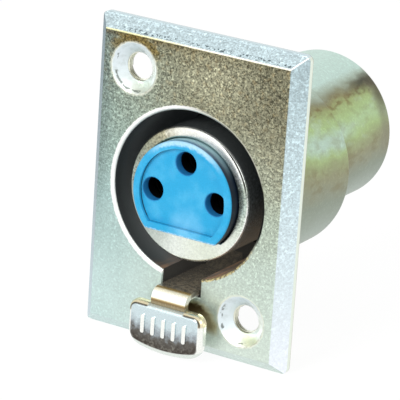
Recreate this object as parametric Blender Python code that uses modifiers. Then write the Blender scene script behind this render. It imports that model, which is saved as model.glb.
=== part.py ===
"""Female three-pole XLR panel socket: a die-cast shell with a bevelled rectangular flange, a nose
sleeve with a blue insert, three turned contacts and a sprung latch lever with a push tab.

Frame: X to the right, +Y into the panel, +Z up. The origin is on the plug's axis, in the plane of
the flange's front face. Every size is in metres.
"""

import math

import bmesh
import bpy
from mathutils import Matrix

MM = 0.001

# Flange
FLANGE_WIDTH = 26.5 * MM
FLANGE_HEIGHT = 36.4 * MM
FLANGE_THICKNESS = 2.3 * MM
FLANGE_CORNER_RADIUS = 0.8 * MM
EDGE_SLOPE_WIDTH = 1.45 * MM
EDGE_SLOPE_DEPTH = 1.65 * MM

# Fixing holes, at the upper left and the lower right
FIXING_FROM_SIDE = 5.4 * MM
FIXING_FROM_END = 5.35 * MM
FIXING_HOLE_DIAMETER = 3.3 * MM
FIXING_HEAD_DIAMETER = 5.8 * MM

# Plug opening, a gap round the nose sleeve, and front barrel
PLUG_GAP = 1.9 * MM
PLUG_BORE_DEPTH = 16.3 * MM
OPENING_ROUNDING = 0.35 * MM
FRONT_BARREL_WALL = 0.8 * MM
FRONT_BARREL_DRAFT = 0.15 * MM
WEB_THICKNESS = 1.9 * MM

# Rear barrel, which is narrower and sits higher than the plug's axis
REAR_BARREL_STEP = 1.65 * MM
REAR_BARREL_WALL = 1.0 * MM
REAR_BARREL_RISE = 1.4 * MM
REAR_BARREL_LENGTH = 11.6 * MM
BARREL_EDGE_ROUNDING = 0.5 * MM

# Nose sleeve and insert
SLEEVE_WALL = 1.175 * MM
SLEEVE_FRONT_Y = 0.2 * MM
SLEEVE_EDGE_ROUNDING = 0.4 * MM
SPIGOT_WALL = 0.5 * MM
INSERT_DIAMETER = 12.75 * MM
INSERT_FLAT_CUT = 1.875 * MM
INSERT_FRONT_Y = -1.2 * MM
INSERT_RIM = 0.88 * MM
INSERT_RECESS = 0.5 * MM
INSERT_EDGE_ROUNDING = 0.25 * MM
FRONT_DISC_THICKNESS = 2.0 * MM
REAR_DISC_THICKNESS = 2.8 * MM

# Cushion ring at the bottom of the plug's gap
CUSHION_THICKNESS = 1.2 * MM

# Contacts
SIDE_CONTACT_INSET = 2.325 * MM
TOP_CONTACT_INSET = 2.575 * MM
PIN_DIAMETER = 2.4 * MM
PIN_ENTRY_DIAMETER = 2.65 * MM
CONTACT_WALL = 0.35 * MM
CONTACT_START_Y = 2.0 * MM
SOCKET_LENGTH = 9.0 * MM
SHANK_DIAMETER = 2.4 * MM
COLLAR_DIAMETER = 3.6 * MM
COLLAR_THICKNESS = 1.0 * MM
SLOT_WIDTH = 0.4 * MM
SLOT_LENGTH = 7.0 * MM
CUP_DIAMETER = 2.9 * MM
CUP_WALL = 0.45 * MM
CUP_LENGTH = 4.6 * MM
CUP_BORE_DEPTH = 3.4 * MM

# Retaining ring
RING_THICKNESS = 0.7 * MM
RING_BITE = 0.3 * MM
RING_WIDTH = 1.3 * MM
RING_OPENING_ANGLE = 24.0
RING_EAR_DIAMETER = 2.2 * MM
RING_EAR_HOLE = 1.0 * MM
RING_EAR_SWEEP = 260.0

# Ground terminal
TERMINAL_WIDTH = 2.2 * MM
TERMINAL_SHEET = 0.5 * MM
TERMINAL_FOOT_DROP = 1.5 * MM
TERMINAL_TAIL_OVERHANG = 2.6 * MM
TERMINAL_EYE_DIAMETER = 1.2 * MM

# Latch lever, its pocket, pin and spring
LATCH_WIDTH = 4.4 * MM
LATCH_SHEET = 0.7 * MM
LATCH_DROP = 1.05 * MM
LATCH_BEND_RADIUS = 1.3 * MM
NECK_SET = 0.05 * MM
TAB_FRONT_Y = -2.9 * MM
TAB_TOP_DROP = 1.7 * MM
TAB_WIDTH = 9.3 * MM
TAB_HEIGHT = 5.0 * MM
TAB_CORNER_RADIUS = 2.0 * MM
TAB_SHOULDER_RADIUS = 1.1 * MM
TAB_BOW = 0.5 * MM
TAB_DISH = 0.85 * MM
TAB_EDGE_STEPS = 4
RIB_COUNT = 5
RIB_PITCH = 1.35 * MM
RIB_WIDTH = 0.5 * MM
RIB_HEIGHT = 2.2 * MM
RIB_PROUD = 0.2 * MM
RIB_CORNER_RADIUS = 0.22 * MM
PIVOT_Y = 5.5 * MM
PIVOT_BELOW_ARM = 1.0 * MM
PIVOT_PIN_DIAMETER = 1.5 * MM
PIVOT_EAR_RADIUS = 1.2 * MM
PIVOT_EAR_ROOT = 3.8 * MM
PIVOT_EAR_LEAN = 10.0
TOOTH_WIDTH = 3.4 * MM
TOOTH_REACH = 0.6 * MM
TOOTH_START_Y = 7.9 * MM
TOOTH_LOCK_Y = 10.1 * MM
NOTCH_WIDTH = 5.0 * MM
POCKET_WALL = 1.05 * MM
POCKET_DEPTH = 2.6 * MM
POCKET_LENGTH = 9.0 * MM
POCKET_FLOOR = 0.8 * MM
POCKET_CORNER_RADIUS = 0.8 * MM
SPRING_Y = 8.4 * MM
SPRING_DIAMETER = 2.6 * MM
SPRING_WIRE = 0.32 * MM
SPRING_TURNS = 3.5
SPRING_END_CLOSING = 0.06
SPRING_STEPS_PER_TURN = 12

# Clearances
SEAT_GAP = 0.3 * MM
SNUG_GAP = 0.1 * MM
PIN_GAP = 0.15 * MM

# Facets, a whole turn, and the distance under which two points are one
FULL_TURN = 360.0
WELD_DISTANCE = 0.002 * MM
ROUND_STEPS = 64
SMALL_STEPS = 24
CORNER_STEPS = 5

# Places worked out from the sizes above
FIXING_ACROSS = FLANGE_WIDTH / 2 - FIXING_FROM_SIDE
FIXING_UP = FLANGE_HEIGHT / 2 - FIXING_FROM_END
INSERT_RADIUS = INSERT_DIAMETER / 2
INSERT_FLAT_DROP = INSERT_RADIUS - INSERT_FLAT_CUT
SLEEVE_BORE_RADIUS = INSERT_RADIUS + SNUG_GAP
SLEEVE_RADIUS = SLEEVE_BORE_RADIUS + SLEEVE_WALL
SPIGOT_RADIUS = SLEEVE_BORE_RADIUS + SPIGOT_WALL
PLUG_BORE_RADIUS = SLEEVE_RADIUS + PLUG_GAP
FRONT_BARREL_RADIUS = PLUG_BORE_RADIUS + FRONT_BARREL_WALL
WEB_BACK_Y = PLUG_BORE_DEPTH + WEB_THICKNESS
REAR_BARREL_RADIUS = FRONT_BARREL_RADIUS - REAR_BARREL_STEP
REAR_END_Y = WEB_BACK_Y + REAR_BARREL_LENGTH
CAVITY_RADIUS = REAR_BARREL_RADIUS - REAR_BARREL_WALL
DISC_RADIUS = CAVITY_RADIUS - SEAT_GAP
FRONT_DISC_Y = WEB_BACK_Y + SEAT_GAP
FRONT_DISC_END_Y = FRONT_DISC_Y + FRONT_DISC_THICKNESS
REAR_DISC_Y = FRONT_DISC_END_Y + SEAT_GAP
REAR_DISC_END_Y = REAR_DISC_Y + REAR_DISC_THICKNESS
RING_Y = REAR_DISC_END_Y + SEAT_GAP
SOCKET_RADIUS = PIN_DIAMETER / 2 + CONTACT_WALL
COLLAR_Y = FRONT_DISC_END_Y - COLLAR_THICKNESS
CUP_Y = RING_Y
CONTACT_END_Y = CUP_Y + CUP_LENGTH
ARM_TOP_Z = -PLUG_BORE_RADIUS - LATCH_DROP
ARM_BOTTOM_Z = ARM_TOP_Z - LATCH_SHEET
NOTCH_FLOOR_Z = ARM_BOTTOM_Z - SNUG_GAP
PIVOT_Z = ARM_BOTTOM_Z - PIVOT_BELOW_ARM
POCKET_FLOOR_Z = ARM_BOTTOM_Z - POCKET_DEPTH
POCKET_END_Y = FLANGE_THICKNESS + POCKET_LENGTH
POCKET_HALF_WIDTH = NOTCH_WIDTH / 2 + POCKET_WALL
TAB_TOP_Z = ARM_TOP_Z - TAB_TOP_DROP

CONTACT_PLACES = {
    "contact_1": (SIDE_CONTACT_INSET - INSERT_RADIUS, 0.0),
    "contact_2": (INSERT_RADIUS - SIDE_CONTACT_INSET, 0.0),
    "contact_3": (0.0, INSERT_RADIUS - TOP_CONTACT_INSET),
}

# A turned shape or an outline is drawn in its local frame and then stood along the plug's axis
ALONG_AXIS = Matrix(((1, 0, 0, 0), (0, 0, 1, 0), (0, -1, 0, 0), (0, 0, 0, 1)))
FACING_FRONT = Matrix(((1, 0, 0, 0), (0, 0, -1, 0), (0, 1, 0, 0), (0, 0, 0, 1)))
FACING_SIDE = Matrix(((0, 0, 1, 0), (1, 0, 0, 0), (0, 1, 0, 0), (0, 0, 0, 1)))
FACING_UP = Matrix.Identity(4)


def clear_scene():
    """Remove every object of the scene."""
    for obj in list(bpy.data.objects):
        bpy.data.objects.remove(obj, do_unlink=True)


def make_collection(name, cutters=False):
    """Return a new collection linked to the scene, hidden from renders if it holds cutters."""
    collection = bpy.data.collections.new(name)
    bpy.context.scene.collection.children.link(collection)
    collection.hide_render = cutters
    return collection


clear_scene()
PARTS = make_collection("xlr_panel_socket")
CUTTERS = make_collection("cutters", cutters=True)


def make_material(name, colour, roughness, metallic):
    """Return a Principled material of one colour."""
    material = bpy.data.materials.new(name)
    material.use_nodes = True
    shader = material.node_tree.nodes["Principled BSDF"]
    shader.inputs["Base Color"].default_value = (*colour, 1.0)
    shader.inputs["Roughness"].default_value = roughness
    shader.inputs["Metallic"].default_value = metallic
    material.diffuse_color = (*colour, 1.0)
    return material


def add_object(name, mesh, cutter=False):
    """Link a mesh or a curve as an object, as a part or as a cutter."""
    obj = bpy.data.objects.new(name, mesh)
    if cutter:
        CUTTERS.objects.link(obj)
        obj.hide_render = True
        obj.display_type = "WIRE"
    else:
        PARTS.objects.link(obj)
    return obj


def finish_part(obj, material, sharp_angle=35.0):
    """Weld a part's coincident points, then give it its material and smooth shading."""
    weld = obj.modifiers.new("weld", "WELD")
    weld.merge_threshold = WELD_DISTANCE
    obj.data.materials.clear()
    obj.data.materials.append(material)
    obj.data.shade_smooth()
    obj.data.set_sharp_from_angle(angle=math.radians(sharp_angle))


def boolean(obj, operation, *others):
    """Add one exact Boolean to the object for each of the others."""
    for other in others:
        modifier = obj.modifiers.new(other.name, "BOOLEAN")
        modifier.operation = operation
        modifier.solver = "EXACT"
        modifier.object = other


def arc(centre, radius, start, end, steps=CORNER_STEPS):
    """Return points on an arc of the plane, from one angle to another in degrees."""
    points = []
    for step in range(steps + 1):
        angle = math.radians(start + (end - start) * step / steps)
        points.append((centre[0] + radius * math.cos(angle), centre[1] + radius * math.sin(angle)))
    return points


def circle(centre, radius, steps=SMALL_STEPS):
    """Return the points of a full circle of the plane."""
    return arc(centre, radius, 0, FULL_TURN * (1 - 1 / steps), steps - 1)


def turned(name, profile, centre=(0.0, 0.0), steps=ROUND_STEPS, closed=False, cutter=False):
    """Turn a profile of (radius, y) points about a line along Y.

    The points run down the outer side, from the rear end to the front end. A closed profile makes
    a ring. The centre is the (x, z) place of the line.
    """
    vertices = [(radius, 0.0, y) for radius, y in profile]
    edges = [(index, index + 1) for index in range(len(profile) - 1)]
    if closed:
        edges.append((len(profile) - 1, 0))
    mesh = bpy.data.meshes.new(name)
    mesh.from_pydata(vertices, edges, [])
    obj = add_object(name, mesh, cutter)
    obj.matrix_world = Matrix.Translation((centre[0], 0.0, centre[1])) @ ALONG_AXIS
    screw = obj.modifiers.new("turn", "SCREW")
    screw.axis = "Z"
    screw.steps = steps
    screw.render_steps = steps
    screw.use_merge_vertices = True
    screw.merge_threshold = WELD_DISTANCE
    screw.use_smooth_shade = True
    return obj


def disc(name, radius, front, back, centre=(0.0, 0.0), steps=ROUND_STEPS, cutter=False):
    """Turn a plain cylinder between two y places."""
    profile = [(0.0, back), (radius, back), (radius, front), (0.0, front)]
    return turned(name, profile, centre, steps, cutter=cutter)


def outline_solid(name, outline, start, end, facing, holes=(), cutter=False):
    """Extrude a flat outline, with holes in it, between two places along its normal."""
    curve = bpy.data.curves.new(name, "CURVE")
    curve.dimensions = "2D"
    curve.fill_mode = "BOTH"
    curve.extrude = abs(end - start) / 2
    for points in (outline, *holes):
        spline = curve.splines.new("POLY")
        spline.points.add(len(points) - 1)
        spline.use_cyclic_u = True
        for point, place in zip(spline.points, points):
            point.co = (place[0], place[1], 0.0, 1.0)
    normal = facing.to_3x3().col[2]
    along = (start + end) / 2 * (1.0 if sum(normal) > 0 else -1.0)
    source = add_object(name + "_outline", curve, cutter)
    source.matrix_world = Matrix.Translation(normal * along) @ facing
    bpy.context.view_layer.update()
    evaluated = source.evaluated_get(bpy.context.evaluated_depsgraph_get())
    mesh = bpy.data.meshes.new_from_object(evaluated)
    obj = add_object(name, mesh, cutter)
    obj.matrix_world = source.matrix_world.copy()
    bpy.data.objects.remove(source, do_unlink=True)
    bpy.data.curves.remove(curve)
    shape = bmesh.new()
    shape.from_mesh(mesh)
    bmesh.ops.remove_doubles(shape, verts=shape.verts, dist=WELD_DISTANCE)
    bmesh.ops.recalc_face_normals(shape, faces=shape.faces)
    shape.to_mesh(mesh)
    shape.free()
    return obj


def box(name, low, high, cutter=False):
    """Return a box between two corners."""
    mesh = bpy.data.meshes.new(name)
    shape = bmesh.new()
    bmesh.ops.create_cube(shape, size=1.0)
    for vertex in shape.verts:
        for axis in range(3):
            middle = (low[axis] + high[axis]) / 2
            vertex.co[axis] = middle + vertex.co[axis] * (high[axis] - low[axis])
    shape.to_mesh(mesh)
    shape.free()
    return add_object(name, mesh, cutter)


def rounded_rectangle(width, height, radius, middle=(0.0, 0.0)):
    """Return the outline of a rectangle with round corners."""
    across = width / 2 - radius
    up = height / 2 - radius
    points = []
    for side_x, side_y, start in ((1, 1, 0), (-1, 1, 90), (-1, -1, 180), (1, -1, 270)):
        corner = (middle[0] + side_x * across, middle[1] + side_y * up)
        points += arc(corner, radius, start, start + 90)
    return points


def d_outline(radius, drop, steps=ROUND_STEPS):
    """Return a circle cut off by a flat at the given drop below its centre."""
    lean = math.degrees(math.asin(drop / radius))
    return arc((0.0, 0.0), radius, -lean, 180.0 + lean, steps)


def strip_outline(path, thickness):
    """Return the outline of a sheet whose middle line is the path, with square ends."""
    left = []
    right = []
    for index, point in enumerate(path):
        before = path[max(index - 1, 0)]
        after = path[min(index + 1, len(path) - 1)]
        run = math.hypot(after[0] - before[0], after[1] - before[1])
        across = (-(after[1] - before[1]) / run, (after[0] - before[0]) / run)
        left.append((point[0] + across[0] * thickness / 2, point[1] + across[1] * thickness / 2))
        right.append((point[0] - across[0] * thickness / 2, point[1] - across[1] * thickness / 2))
    return left + right[::-1]


def make_flange_blank():
    """Return the flange slab with its four sloping edges and round corners."""
    half_width = FLANGE_WIDTH / 2
    half_height = FLANGE_HEIGHT / 2
    flange = box(
        "flange_housing",
        (-half_width, EDGE_SLOPE_DEPTH, -half_height),
        (half_width, FLANGE_THICKNESS, half_height),
    )
    shape = bmesh.new()
    shape.from_mesh(flange.data)
    front = [face for face in shape.faces if face.normal.y < -0.5]
    bmesh.ops.inset_region(shape, faces=front, thickness=EDGE_SLOPE_WIDTH, depth=EDGE_SLOPE_DEPTH)
    shape.to_mesh(flange.data)
    shape.free()
    corners = outline_solid(
        "flange_corner_column",
        rounded_rectangle(FLANGE_WIDTH, FLANGE_HEIGHT, FLANGE_CORNER_RADIUS),
        -FLANGE_THICKNESS,
        2 * FLANGE_THICKNESS,
        FACING_FRONT,
        cutter=True,
    )
    boolean(flange, "INTERSECT", corners)
    return flange


def make_front_barrel():
    """Return the barrel round the plug's bore, drafted toward its rear edge."""
    rear_radius = FRONT_BARREL_RADIUS - FRONT_BARREL_DRAFT
    rounding = BARREL_EDGE_ROUNDING / 2
    edge = arc((rear_radius - rounding, WEB_BACK_Y - rounding), rounding, 90, 0)
    front = FLANGE_THICKNESS / 2
    profile = [(0.0, WEB_BACK_Y), *edge, (FRONT_BARREL_RADIUS, front), (0.0, front)]
    return turned("front_barrel", profile, cutter=True)


def make_rear_barrel():
    """Return the raised rear barrel with its rounded end."""
    rounding = BARREL_EDGE_ROUNDING
    edge = arc((REAR_BARREL_RADIUS - rounding, REAR_END_Y - rounding), rounding, 90, 0)
    front = PLUG_BORE_DEPTH + WEB_THICKNESS / 2
    profile = [(0.0, REAR_END_Y), *edge, (REAR_BARREL_RADIUS, front), (0.0, front)]
    return turned("rear_barrel", profile, (0.0, REAR_BARREL_RISE), cutter=True)


def make_pocket_block():
    """Return the block under the front barrel that holds the latch."""
    front = FLANGE_THICKNESS / 2
    bottom = POCKET_FLOOR_Z - POCKET_FLOOR
    back = POCKET_END_Y + POCKET_WALL
    across = POCKET_HALF_WIDTH - POCKET_CORNER_RADIUS
    up = bottom + POCKET_CORNER_RADIUS
    outline = [(POCKET_HALF_WIDTH, -PLUG_BORE_RADIUS), (-POCKET_HALF_WIDTH, -PLUG_BORE_RADIUS)]
    outline += arc((-across, up), POCKET_CORNER_RADIUS, 180, 270)
    outline += arc((across, up), POCKET_CORNER_RADIUS, 270, 360)
    return outline_solid("pocket_block", outline, front, back, FACING_FRONT, cutter=True)


def make_plug_bore():
    """Return the cutter of the plug's bore, its rounded rim and the sleeve's seat in the web."""
    rim = arc(
        (PLUG_BORE_RADIUS + OPENING_ROUNDING, OPENING_ROUNDING), OPENING_ROUNDING, 180, 270
    )
    mouth = PLUG_BORE_RADIUS + OPENING_ROUNDING
    spigot_seat = SPIGOT_RADIUS + SNUG_GAP
    inside_cavity_y = WEB_BACK_Y + NECK_SET
    profile = [
        (0.0, inside_cavity_y),
        (spigot_seat, inside_cavity_y),
        (spigot_seat, PLUG_BORE_DEPTH),
        (PLUG_BORE_RADIUS, PLUG_BORE_DEPTH),
        *rim,
        (mouth, -FLANGE_THICKNESS),
        (0.0, -FLANGE_THICKNESS),
    ]
    return turned("plug_bore", profile, cutter=True)


def make_rear_cavity():
    """Return the cutter of the rear cavity, with the groove of the retaining ring."""
    groove = CAVITY_RADIUS + RING_BITE + SNUG_GAP
    groove_front = RING_Y - SNUG_GAP
    groove_back = RING_Y + RING_THICKNESS + SNUG_GAP
    profile = [
        (0.0, REAR_END_Y + WEB_THICKNESS),
        (CAVITY_RADIUS, REAR_END_Y + WEB_THICKNESS),
        (CAVITY_RADIUS, groove_back),
        (groove, groove_back),
        (groove, groove_front),
        (CAVITY_RADIUS, groove_front),
        (CAVITY_RADIUS, WEB_BACK_Y),
        (0.0, WEB_BACK_Y),
    ]
    return turned("rear_cavity", profile, (0.0, REAR_BARREL_RISE), cutter=True)


def make_fixing_hole(name, centre):
    """Return the cutter of one countersunk fixing hole."""
    hole = FIXING_HOLE_DIAMETER / 2
    head = FIXING_HEAD_DIAMETER / 2
    profile = [
        (0.0, 2 * FLANGE_THICKNESS),
        (hole, 2 * FLANGE_THICKNESS),
        (hole, head - hole),
        (head, 0.0),
        (head, -FLANGE_THICKNESS),
        (0.0, -FLANGE_THICKNESS),
    ]
    return turned(name, profile, centre, 2 * SMALL_STEPS, cutter=True)


def make_pin_hole(name, diameter, reach):
    """Return a cutter along X through the latch pivot."""
    outline = circle((PIVOT_Y, PIVOT_Z), diameter / 2)
    return outline_solid(name, outline, -reach, reach, FACING_SIDE, cutter=True)


def make_housing(material):
    """Build the die-cast shell: flange, both barrels and the latch pocket, cut as one piece."""
    housing = make_flange_blank()
    boolean(housing, "UNION", make_front_barrel(), make_rear_barrel(), make_pocket_block())
    half_notch = NOTCH_WIDTH / 2
    notch = box(
        "latch_notch",
        (-half_notch, -FLANGE_THICKNESS, NOTCH_FLOOR_Z),
        (half_notch, FLANGE_THICKNESS + POCKET_WALL, 0.0),
        cutter=True,
    )
    pocket = box(
        "latch_pocket",
        (-half_notch, FLANGE_THICKNESS - NECK_SET, POCKET_FLOOR_Z),
        (half_notch, POCKET_END_Y, 0.0),
        cutter=True,
    )
    pin_hole = make_pin_hole(
        "housing_pin_hole", PIVOT_PIN_DIAMETER + 2 * SNUG_GAP, 2 * POCKET_HALF_WIDTH
    )
    boolean(housing, "DIFFERENCE", make_plug_bore(), make_rear_cavity())
    boolean(housing, "DIFFERENCE", notch, pocket, pin_hole)
    boolean(
        housing,
        "DIFFERENCE",
        make_fixing_hole("fixing_hole_left", (-FIXING_ACROSS, FIXING_UP)),
        make_fixing_hole("fixing_hole_right", (FIXING_ACROSS, -FIXING_UP)),
    )
    finish_part(housing, material)


def make_sleeve(material):
    """Build the nose sleeve: a turned tube with a D bore and a spigot into the shell's web."""
    rounding = SLEEVE_EDGE_ROUNDING
    shoulder = PLUG_BORE_DEPTH - SEAT_GAP
    edge = arc((SLEEVE_RADIUS - rounding, SLEEVE_FRONT_Y + rounding), rounding, 0, -90)
    profile = [
        (0.0, WEB_BACK_Y),
        (SPIGOT_RADIUS, WEB_BACK_Y),
        (SPIGOT_RADIUS, shoulder),
        (SLEEVE_RADIUS, shoulder),
        *edge,
        (0.0, SLEEVE_FRONT_Y),
    ]
    sleeve = turned("nose_sleeve", profile)
    bore = outline_solid(
        "sleeve_bore",
        d_outline(SLEEVE_BORE_RADIUS, INSERT_FLAT_DROP + SNUG_GAP),
        -WEB_BACK_Y,
        2 * WEB_BACK_Y,
        FACING_FRONT,
        cutter=True,
    )
    boolean(sleeve, "DIFFERENCE", bore)
    finish_part(sleeve, material)


def make_cushion(material):
    """Build the rubber ring that the plug's shell comes to rest on."""
    inner = SLEEVE_RADIUS + SNUG_GAP
    outer = PLUG_BORE_RADIUS - SNUG_GAP
    back = PLUG_BORE_DEPTH - SNUG_GAP
    front = back - CUSHION_THICKNESS
    crown = (outer - inner) / 2
    bulge = arc(((outer + inner) / 2, front + crown / 2), crown, 0, -180, 6)
    profile = [(inner, back), (outer, back), *[(r, front + (y - front) / 2) for r, y in bulge]]
    cushion = turned("cushion_ring", profile, closed=True)
    finish_part(cushion, material)


def make_front_insert(material):
    """Build the blue front insert: a D-shaped nose with three pin entries and a rear disc."""
    nose = outline_solid(
        "front_insert",
        d_outline(INSERT_RADIUS, INSERT_FLAT_DROP),
        INSERT_FRONT_Y,
        FRONT_DISC_Y + FRONT_DISC_THICKNESS / 2,
        FACING_FRONT,
    )
    rounding = nose.modifiers.new("edge_rounding", "BEVEL")
    rounding.width = INSERT_EDGE_ROUNDING
    rounding.segments = 2
    rounding.limit_method = "ANGLE"
    rounding.angle_limit = math.radians(60)
    recess = outline_solid(
        "insert_recess",
        d_outline(INSERT_RADIUS - INSERT_RIM, INSERT_FLAT_DROP - INSERT_RIM),
        2 * INSERT_FRONT_Y,
        INSERT_FRONT_Y + INSERT_RECESS,
        FACING_FRONT,
        cutter=True,
    )
    rear_disc = disc(
        "front_insert_disc",
        DISC_RADIUS,
        FRONT_DISC_Y,
        FRONT_DISC_END_Y,
        (0.0, REAR_BARREL_RISE),
        cutter=True,
    )
    boolean(nose, "UNION", rear_disc)
    boolean(nose, "DIFFERENCE", recess, make_terminal_groove("front_groove"))
    cavity_radius = SOCKET_RADIUS + SNUG_GAP + PIN_GAP / 2
    collar_seat = COLLAR_DIAMETER / 2 + SNUG_GAP
    for name, centre in CONTACT_PLACES.items():
        profile = [
            (0.0, REAR_DISC_Y),
            (collar_seat, REAR_DISC_Y),
            (collar_seat, COLLAR_Y - SNUG_GAP),
            (cavity_radius, COLLAR_Y - SNUG_GAP),
            (cavity_radius, CONTACT_START_Y - SEAT_GAP),
            (PIN_ENTRY_DIAMETER / 2, CONTACT_START_Y - SEAT_GAP),
            (PIN_ENTRY_DIAMETER / 2, 2 * INSERT_FRONT_Y),
            (0.0, 2 * INSERT_FRONT_Y),
        ]
        boolean(nose, "DIFFERENCE", turned(name + "_cavity", profile, centre, SMALL_STEPS, cutter=True))
    finish_part(nose, material)


def make_terminal_groove(name):
    """Return the cutter of the groove in both inserts that the ground terminal lies in."""
    half_width = TERMINAL_WIDTH / 2 + SEAT_GAP
    floor = terminal_bottom() - SEAT_GAP
    groove = box(
        name,
        (-half_width, WEB_BACK_Y, floor),
        (half_width, REAR_END_Y, REAR_BARREL_RISE + 2 * DISC_RADIUS),
        cutter=True,
    )
    foot = box(
        name + "_foot",
        (-half_width, WEB_BACK_Y, floor - TERMINAL_FOOT_DROP),
        (half_width, WEB_BACK_Y + TERMINAL_SHEET + 2 * SEAT_GAP, floor + TERMINAL_SHEET),
        cutter=True,
    )
    boolean(groove, "UNION", foot)
    return groove


def terminal_bottom():
    """Return the height of the ground terminal's lower face."""
    return REAR_BARREL_RISE + DISC_RADIUS - 2 * TERMINAL_SHEET - SEAT_GAP


def make_rear_insert(material):
    """Build the rear insert, which holds the contacts' collars in the front insert."""
    insert = disc(
        "rear_insert", DISC_RADIUS, REAR_DISC_Y, REAR_DISC_END_Y, (0.0, REAR_BARREL_RISE)
    )
    boolean(insert, "DIFFERENCE", make_terminal_groove("rear_groove"))
    hole = SHANK_DIAMETER / 2 + PIN_GAP
    for name, centre in CONTACT_PLACES.items():
        cutter = disc(name + "_hole", hole, 0.0, REAR_END_Y, centre, SMALL_STEPS, cutter=True)
        boolean(insert, "DIFFERENCE", cutter)
    finish_part(insert, material)


def make_contact(name, centre, material):
    """Build one turned contact: slotted socket, shank, collar and solder cup."""
    bore = PIN_DIAMETER / 2
    socket_end = CONTACT_START_Y + SOCKET_LENGTH
    shank = SHANK_DIAMETER / 2
    collar = COLLAR_DIAMETER / 2
    cup = CUP_DIAMETER / 2
    cup_bore = cup - CUP_WALL
    profile = [
        (0.0, CONTACT_END_Y - CUP_BORE_DEPTH),
        (cup_bore, CONTACT_END_Y - CUP_BORE_DEPTH),
        (cup_bore, CONTACT_END_Y),
        (cup, CONTACT_END_Y),
        (cup, CUP_Y),
        (shank, CUP_Y),
        (shank, COLLAR_Y + COLLAR_THICKNESS),
        (collar, COLLAR_Y + COLLAR_THICKNESS),
        (collar, COLLAR_Y),
        (shank, COLLAR_Y),
        (shank, socket_end + CONTACT_WALL),
        (SOCKET_RADIUS, socket_end),
        (SOCKET_RADIUS, CONTACT_START_Y),
        (bore, CONTACT_START_Y),
        (bore, socket_end - CONTACT_WALL),
        (0.0, socket_end - CONTACT_WALL),
    ]
    contact = turned(name, profile, centre, SMALL_STEPS)
    slot = box(
        name + "_slot",
        (centre[0] - SLOT_WIDTH / 2, 0.0, centre[1] - 2 * SOCKET_RADIUS),
        (centre[0] + SLOT_WIDTH / 2, CONTACT_START_Y + SLOT_LENGTH, centre[1] + 2 * SOCKET_RADIUS),
        cutter=True,
    )
    open_side = box(
        name + "_cup_side",
        (centre[0] - CUP_DIAMETER, CONTACT_END_Y - CUP_BORE_DEPTH, centre[1] + cup_bore / 3),
        (centre[0] + CUP_DIAMETER, CONTACT_END_Y + CUP_WALL, centre[1] + CUP_DIAMETER),
        cutter=True,
    )
    boolean(contact, "DIFFERENCE", slot, open_side)
    finish_part(contact, material)


def make_retaining_ring(material):
    """Build the internal spring ring, open at the top where the ground terminal passes."""
    outer = CAVITY_RADIUS + RING_BITE
    inner = outer - RING_WIDTH
    ear = RING_EAR_DIAMETER / 2
    ear_circle = outer - SNUG_GAP - ear
    ear_lean = math.degrees(ear / inner)
    middle = (0.0, REAR_BARREL_RISE)
    start = 90 + RING_OPENING_ANGLE
    end = 450 - RING_OPENING_ANGLE
    start_ear = arc(middle, ear_circle, start, start, 1)[0]
    end_ear = arc(middle, ear_circle, end, end, 1)[0]
    outline = arc(middle, outer, start, end, ROUND_STEPS)
    outline += arc(end_ear, ear, end, end + RING_EAR_SWEEP, SMALL_STEPS)
    outline += arc(middle, inner, end - ear_lean, start + ear_lean, ROUND_STEPS)
    outline += arc(start_ear, ear, start - RING_EAR_SWEEP, start, SMALL_STEPS)
    eyes = [circle(centre, RING_EAR_HOLE / 2, SMALL_STEPS // 2) for centre in (start_ear, end_ear)]
    back = RING_Y + RING_THICKNESS
    ring = outline_solid("retaining_ring", outline, RING_Y, back, FACING_FRONT, holes=eyes)
    finish_part(ring, material)


def make_ground_terminal(material):
    """Build the ground terminal: a bent strip from the shell's web to a solder eye at the rear."""
    bottom = terminal_bottom()
    middle_z = bottom + TERMINAL_SHEET / 2
    foot_y = WEB_BACK_Y + SNUG_GAP + TERMINAL_SHEET / 2
    tail_end = REAR_END_Y + TERMINAL_TAIL_OVERHANG
    bend = arc((foot_y + TERMINAL_SHEET, middle_z - TERMINAL_SHEET), TERMINAL_SHEET, 180, 90)
    path = [(foot_y, bottom - TERMINAL_FOOT_DROP + SEAT_GAP), *bend, (tail_end, middle_z)]
    half_width = TERMINAL_WIDTH / 2
    outline = strip_outline(path, TERMINAL_SHEET)
    terminal = outline_solid("ground_terminal", outline, -half_width, half_width, FACING_SIDE)
    eye_outline = circle((0.0, tail_end - half_width), TERMINAL_EYE_DIAMETER / 2)
    eye = outline_solid("terminal_eye", eye_outline, bottom / 2, 2 * bottom, FACING_UP, cutter=True)
    boolean(terminal, "DIFFERENCE", eye)
    finish_part(terminal, material)


def lever_path():
    """Return the middle line of the lever's sheet, from the tab's foot to the arm's rear."""
    middle_z = ARM_TOP_Z - LATCH_SHEET / 2
    front_y = TAB_FRONT_Y + NECK_SET + LATCH_SHEET / 2
    radius = LATCH_BEND_RADIUS - LATCH_SHEET / 2
    bend = arc((front_y + radius, middle_z - radius), radius, 180, 90)
    return [(front_y, TAB_TOP_Z - TAB_SHOULDER_RADIUS), *bend, (TOOTH_START_Y, middle_z)]


def tab_outline(inset):
    """Return the tab's outline in (x, z), drawn in by the inset, with a bowed lower edge."""
    half = TAB_WIDTH / 2 - inset
    top = TAB_TOP_Z - inset
    bottom = TAB_TOP_Z - TAB_HEIGHT + inset
    lower = max(TAB_CORNER_RADIUS - inset, TAB_CORNER_RADIUS / 4)
    upper = max(TAB_SHOULDER_RADIUS - inset, TAB_SHOULDER_RADIUS / 4)
    points = arc((half - upper, top - upper), upper, 0, 90)
    points += arc((-half + upper, top - upper), upper, 90, 180)
    points += arc((-half + lower, bottom + lower), lower, 180, 270)
    points += arc((half - lower, bottom + lower), lower, 270, 360)
    bowed = []
    for x, z in points:
        share = (top - z) / (top - bottom)
        bowed.append((x, z - TAB_BOW * share * (1 - (x / half) ** 2)))
    return bowed


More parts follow.
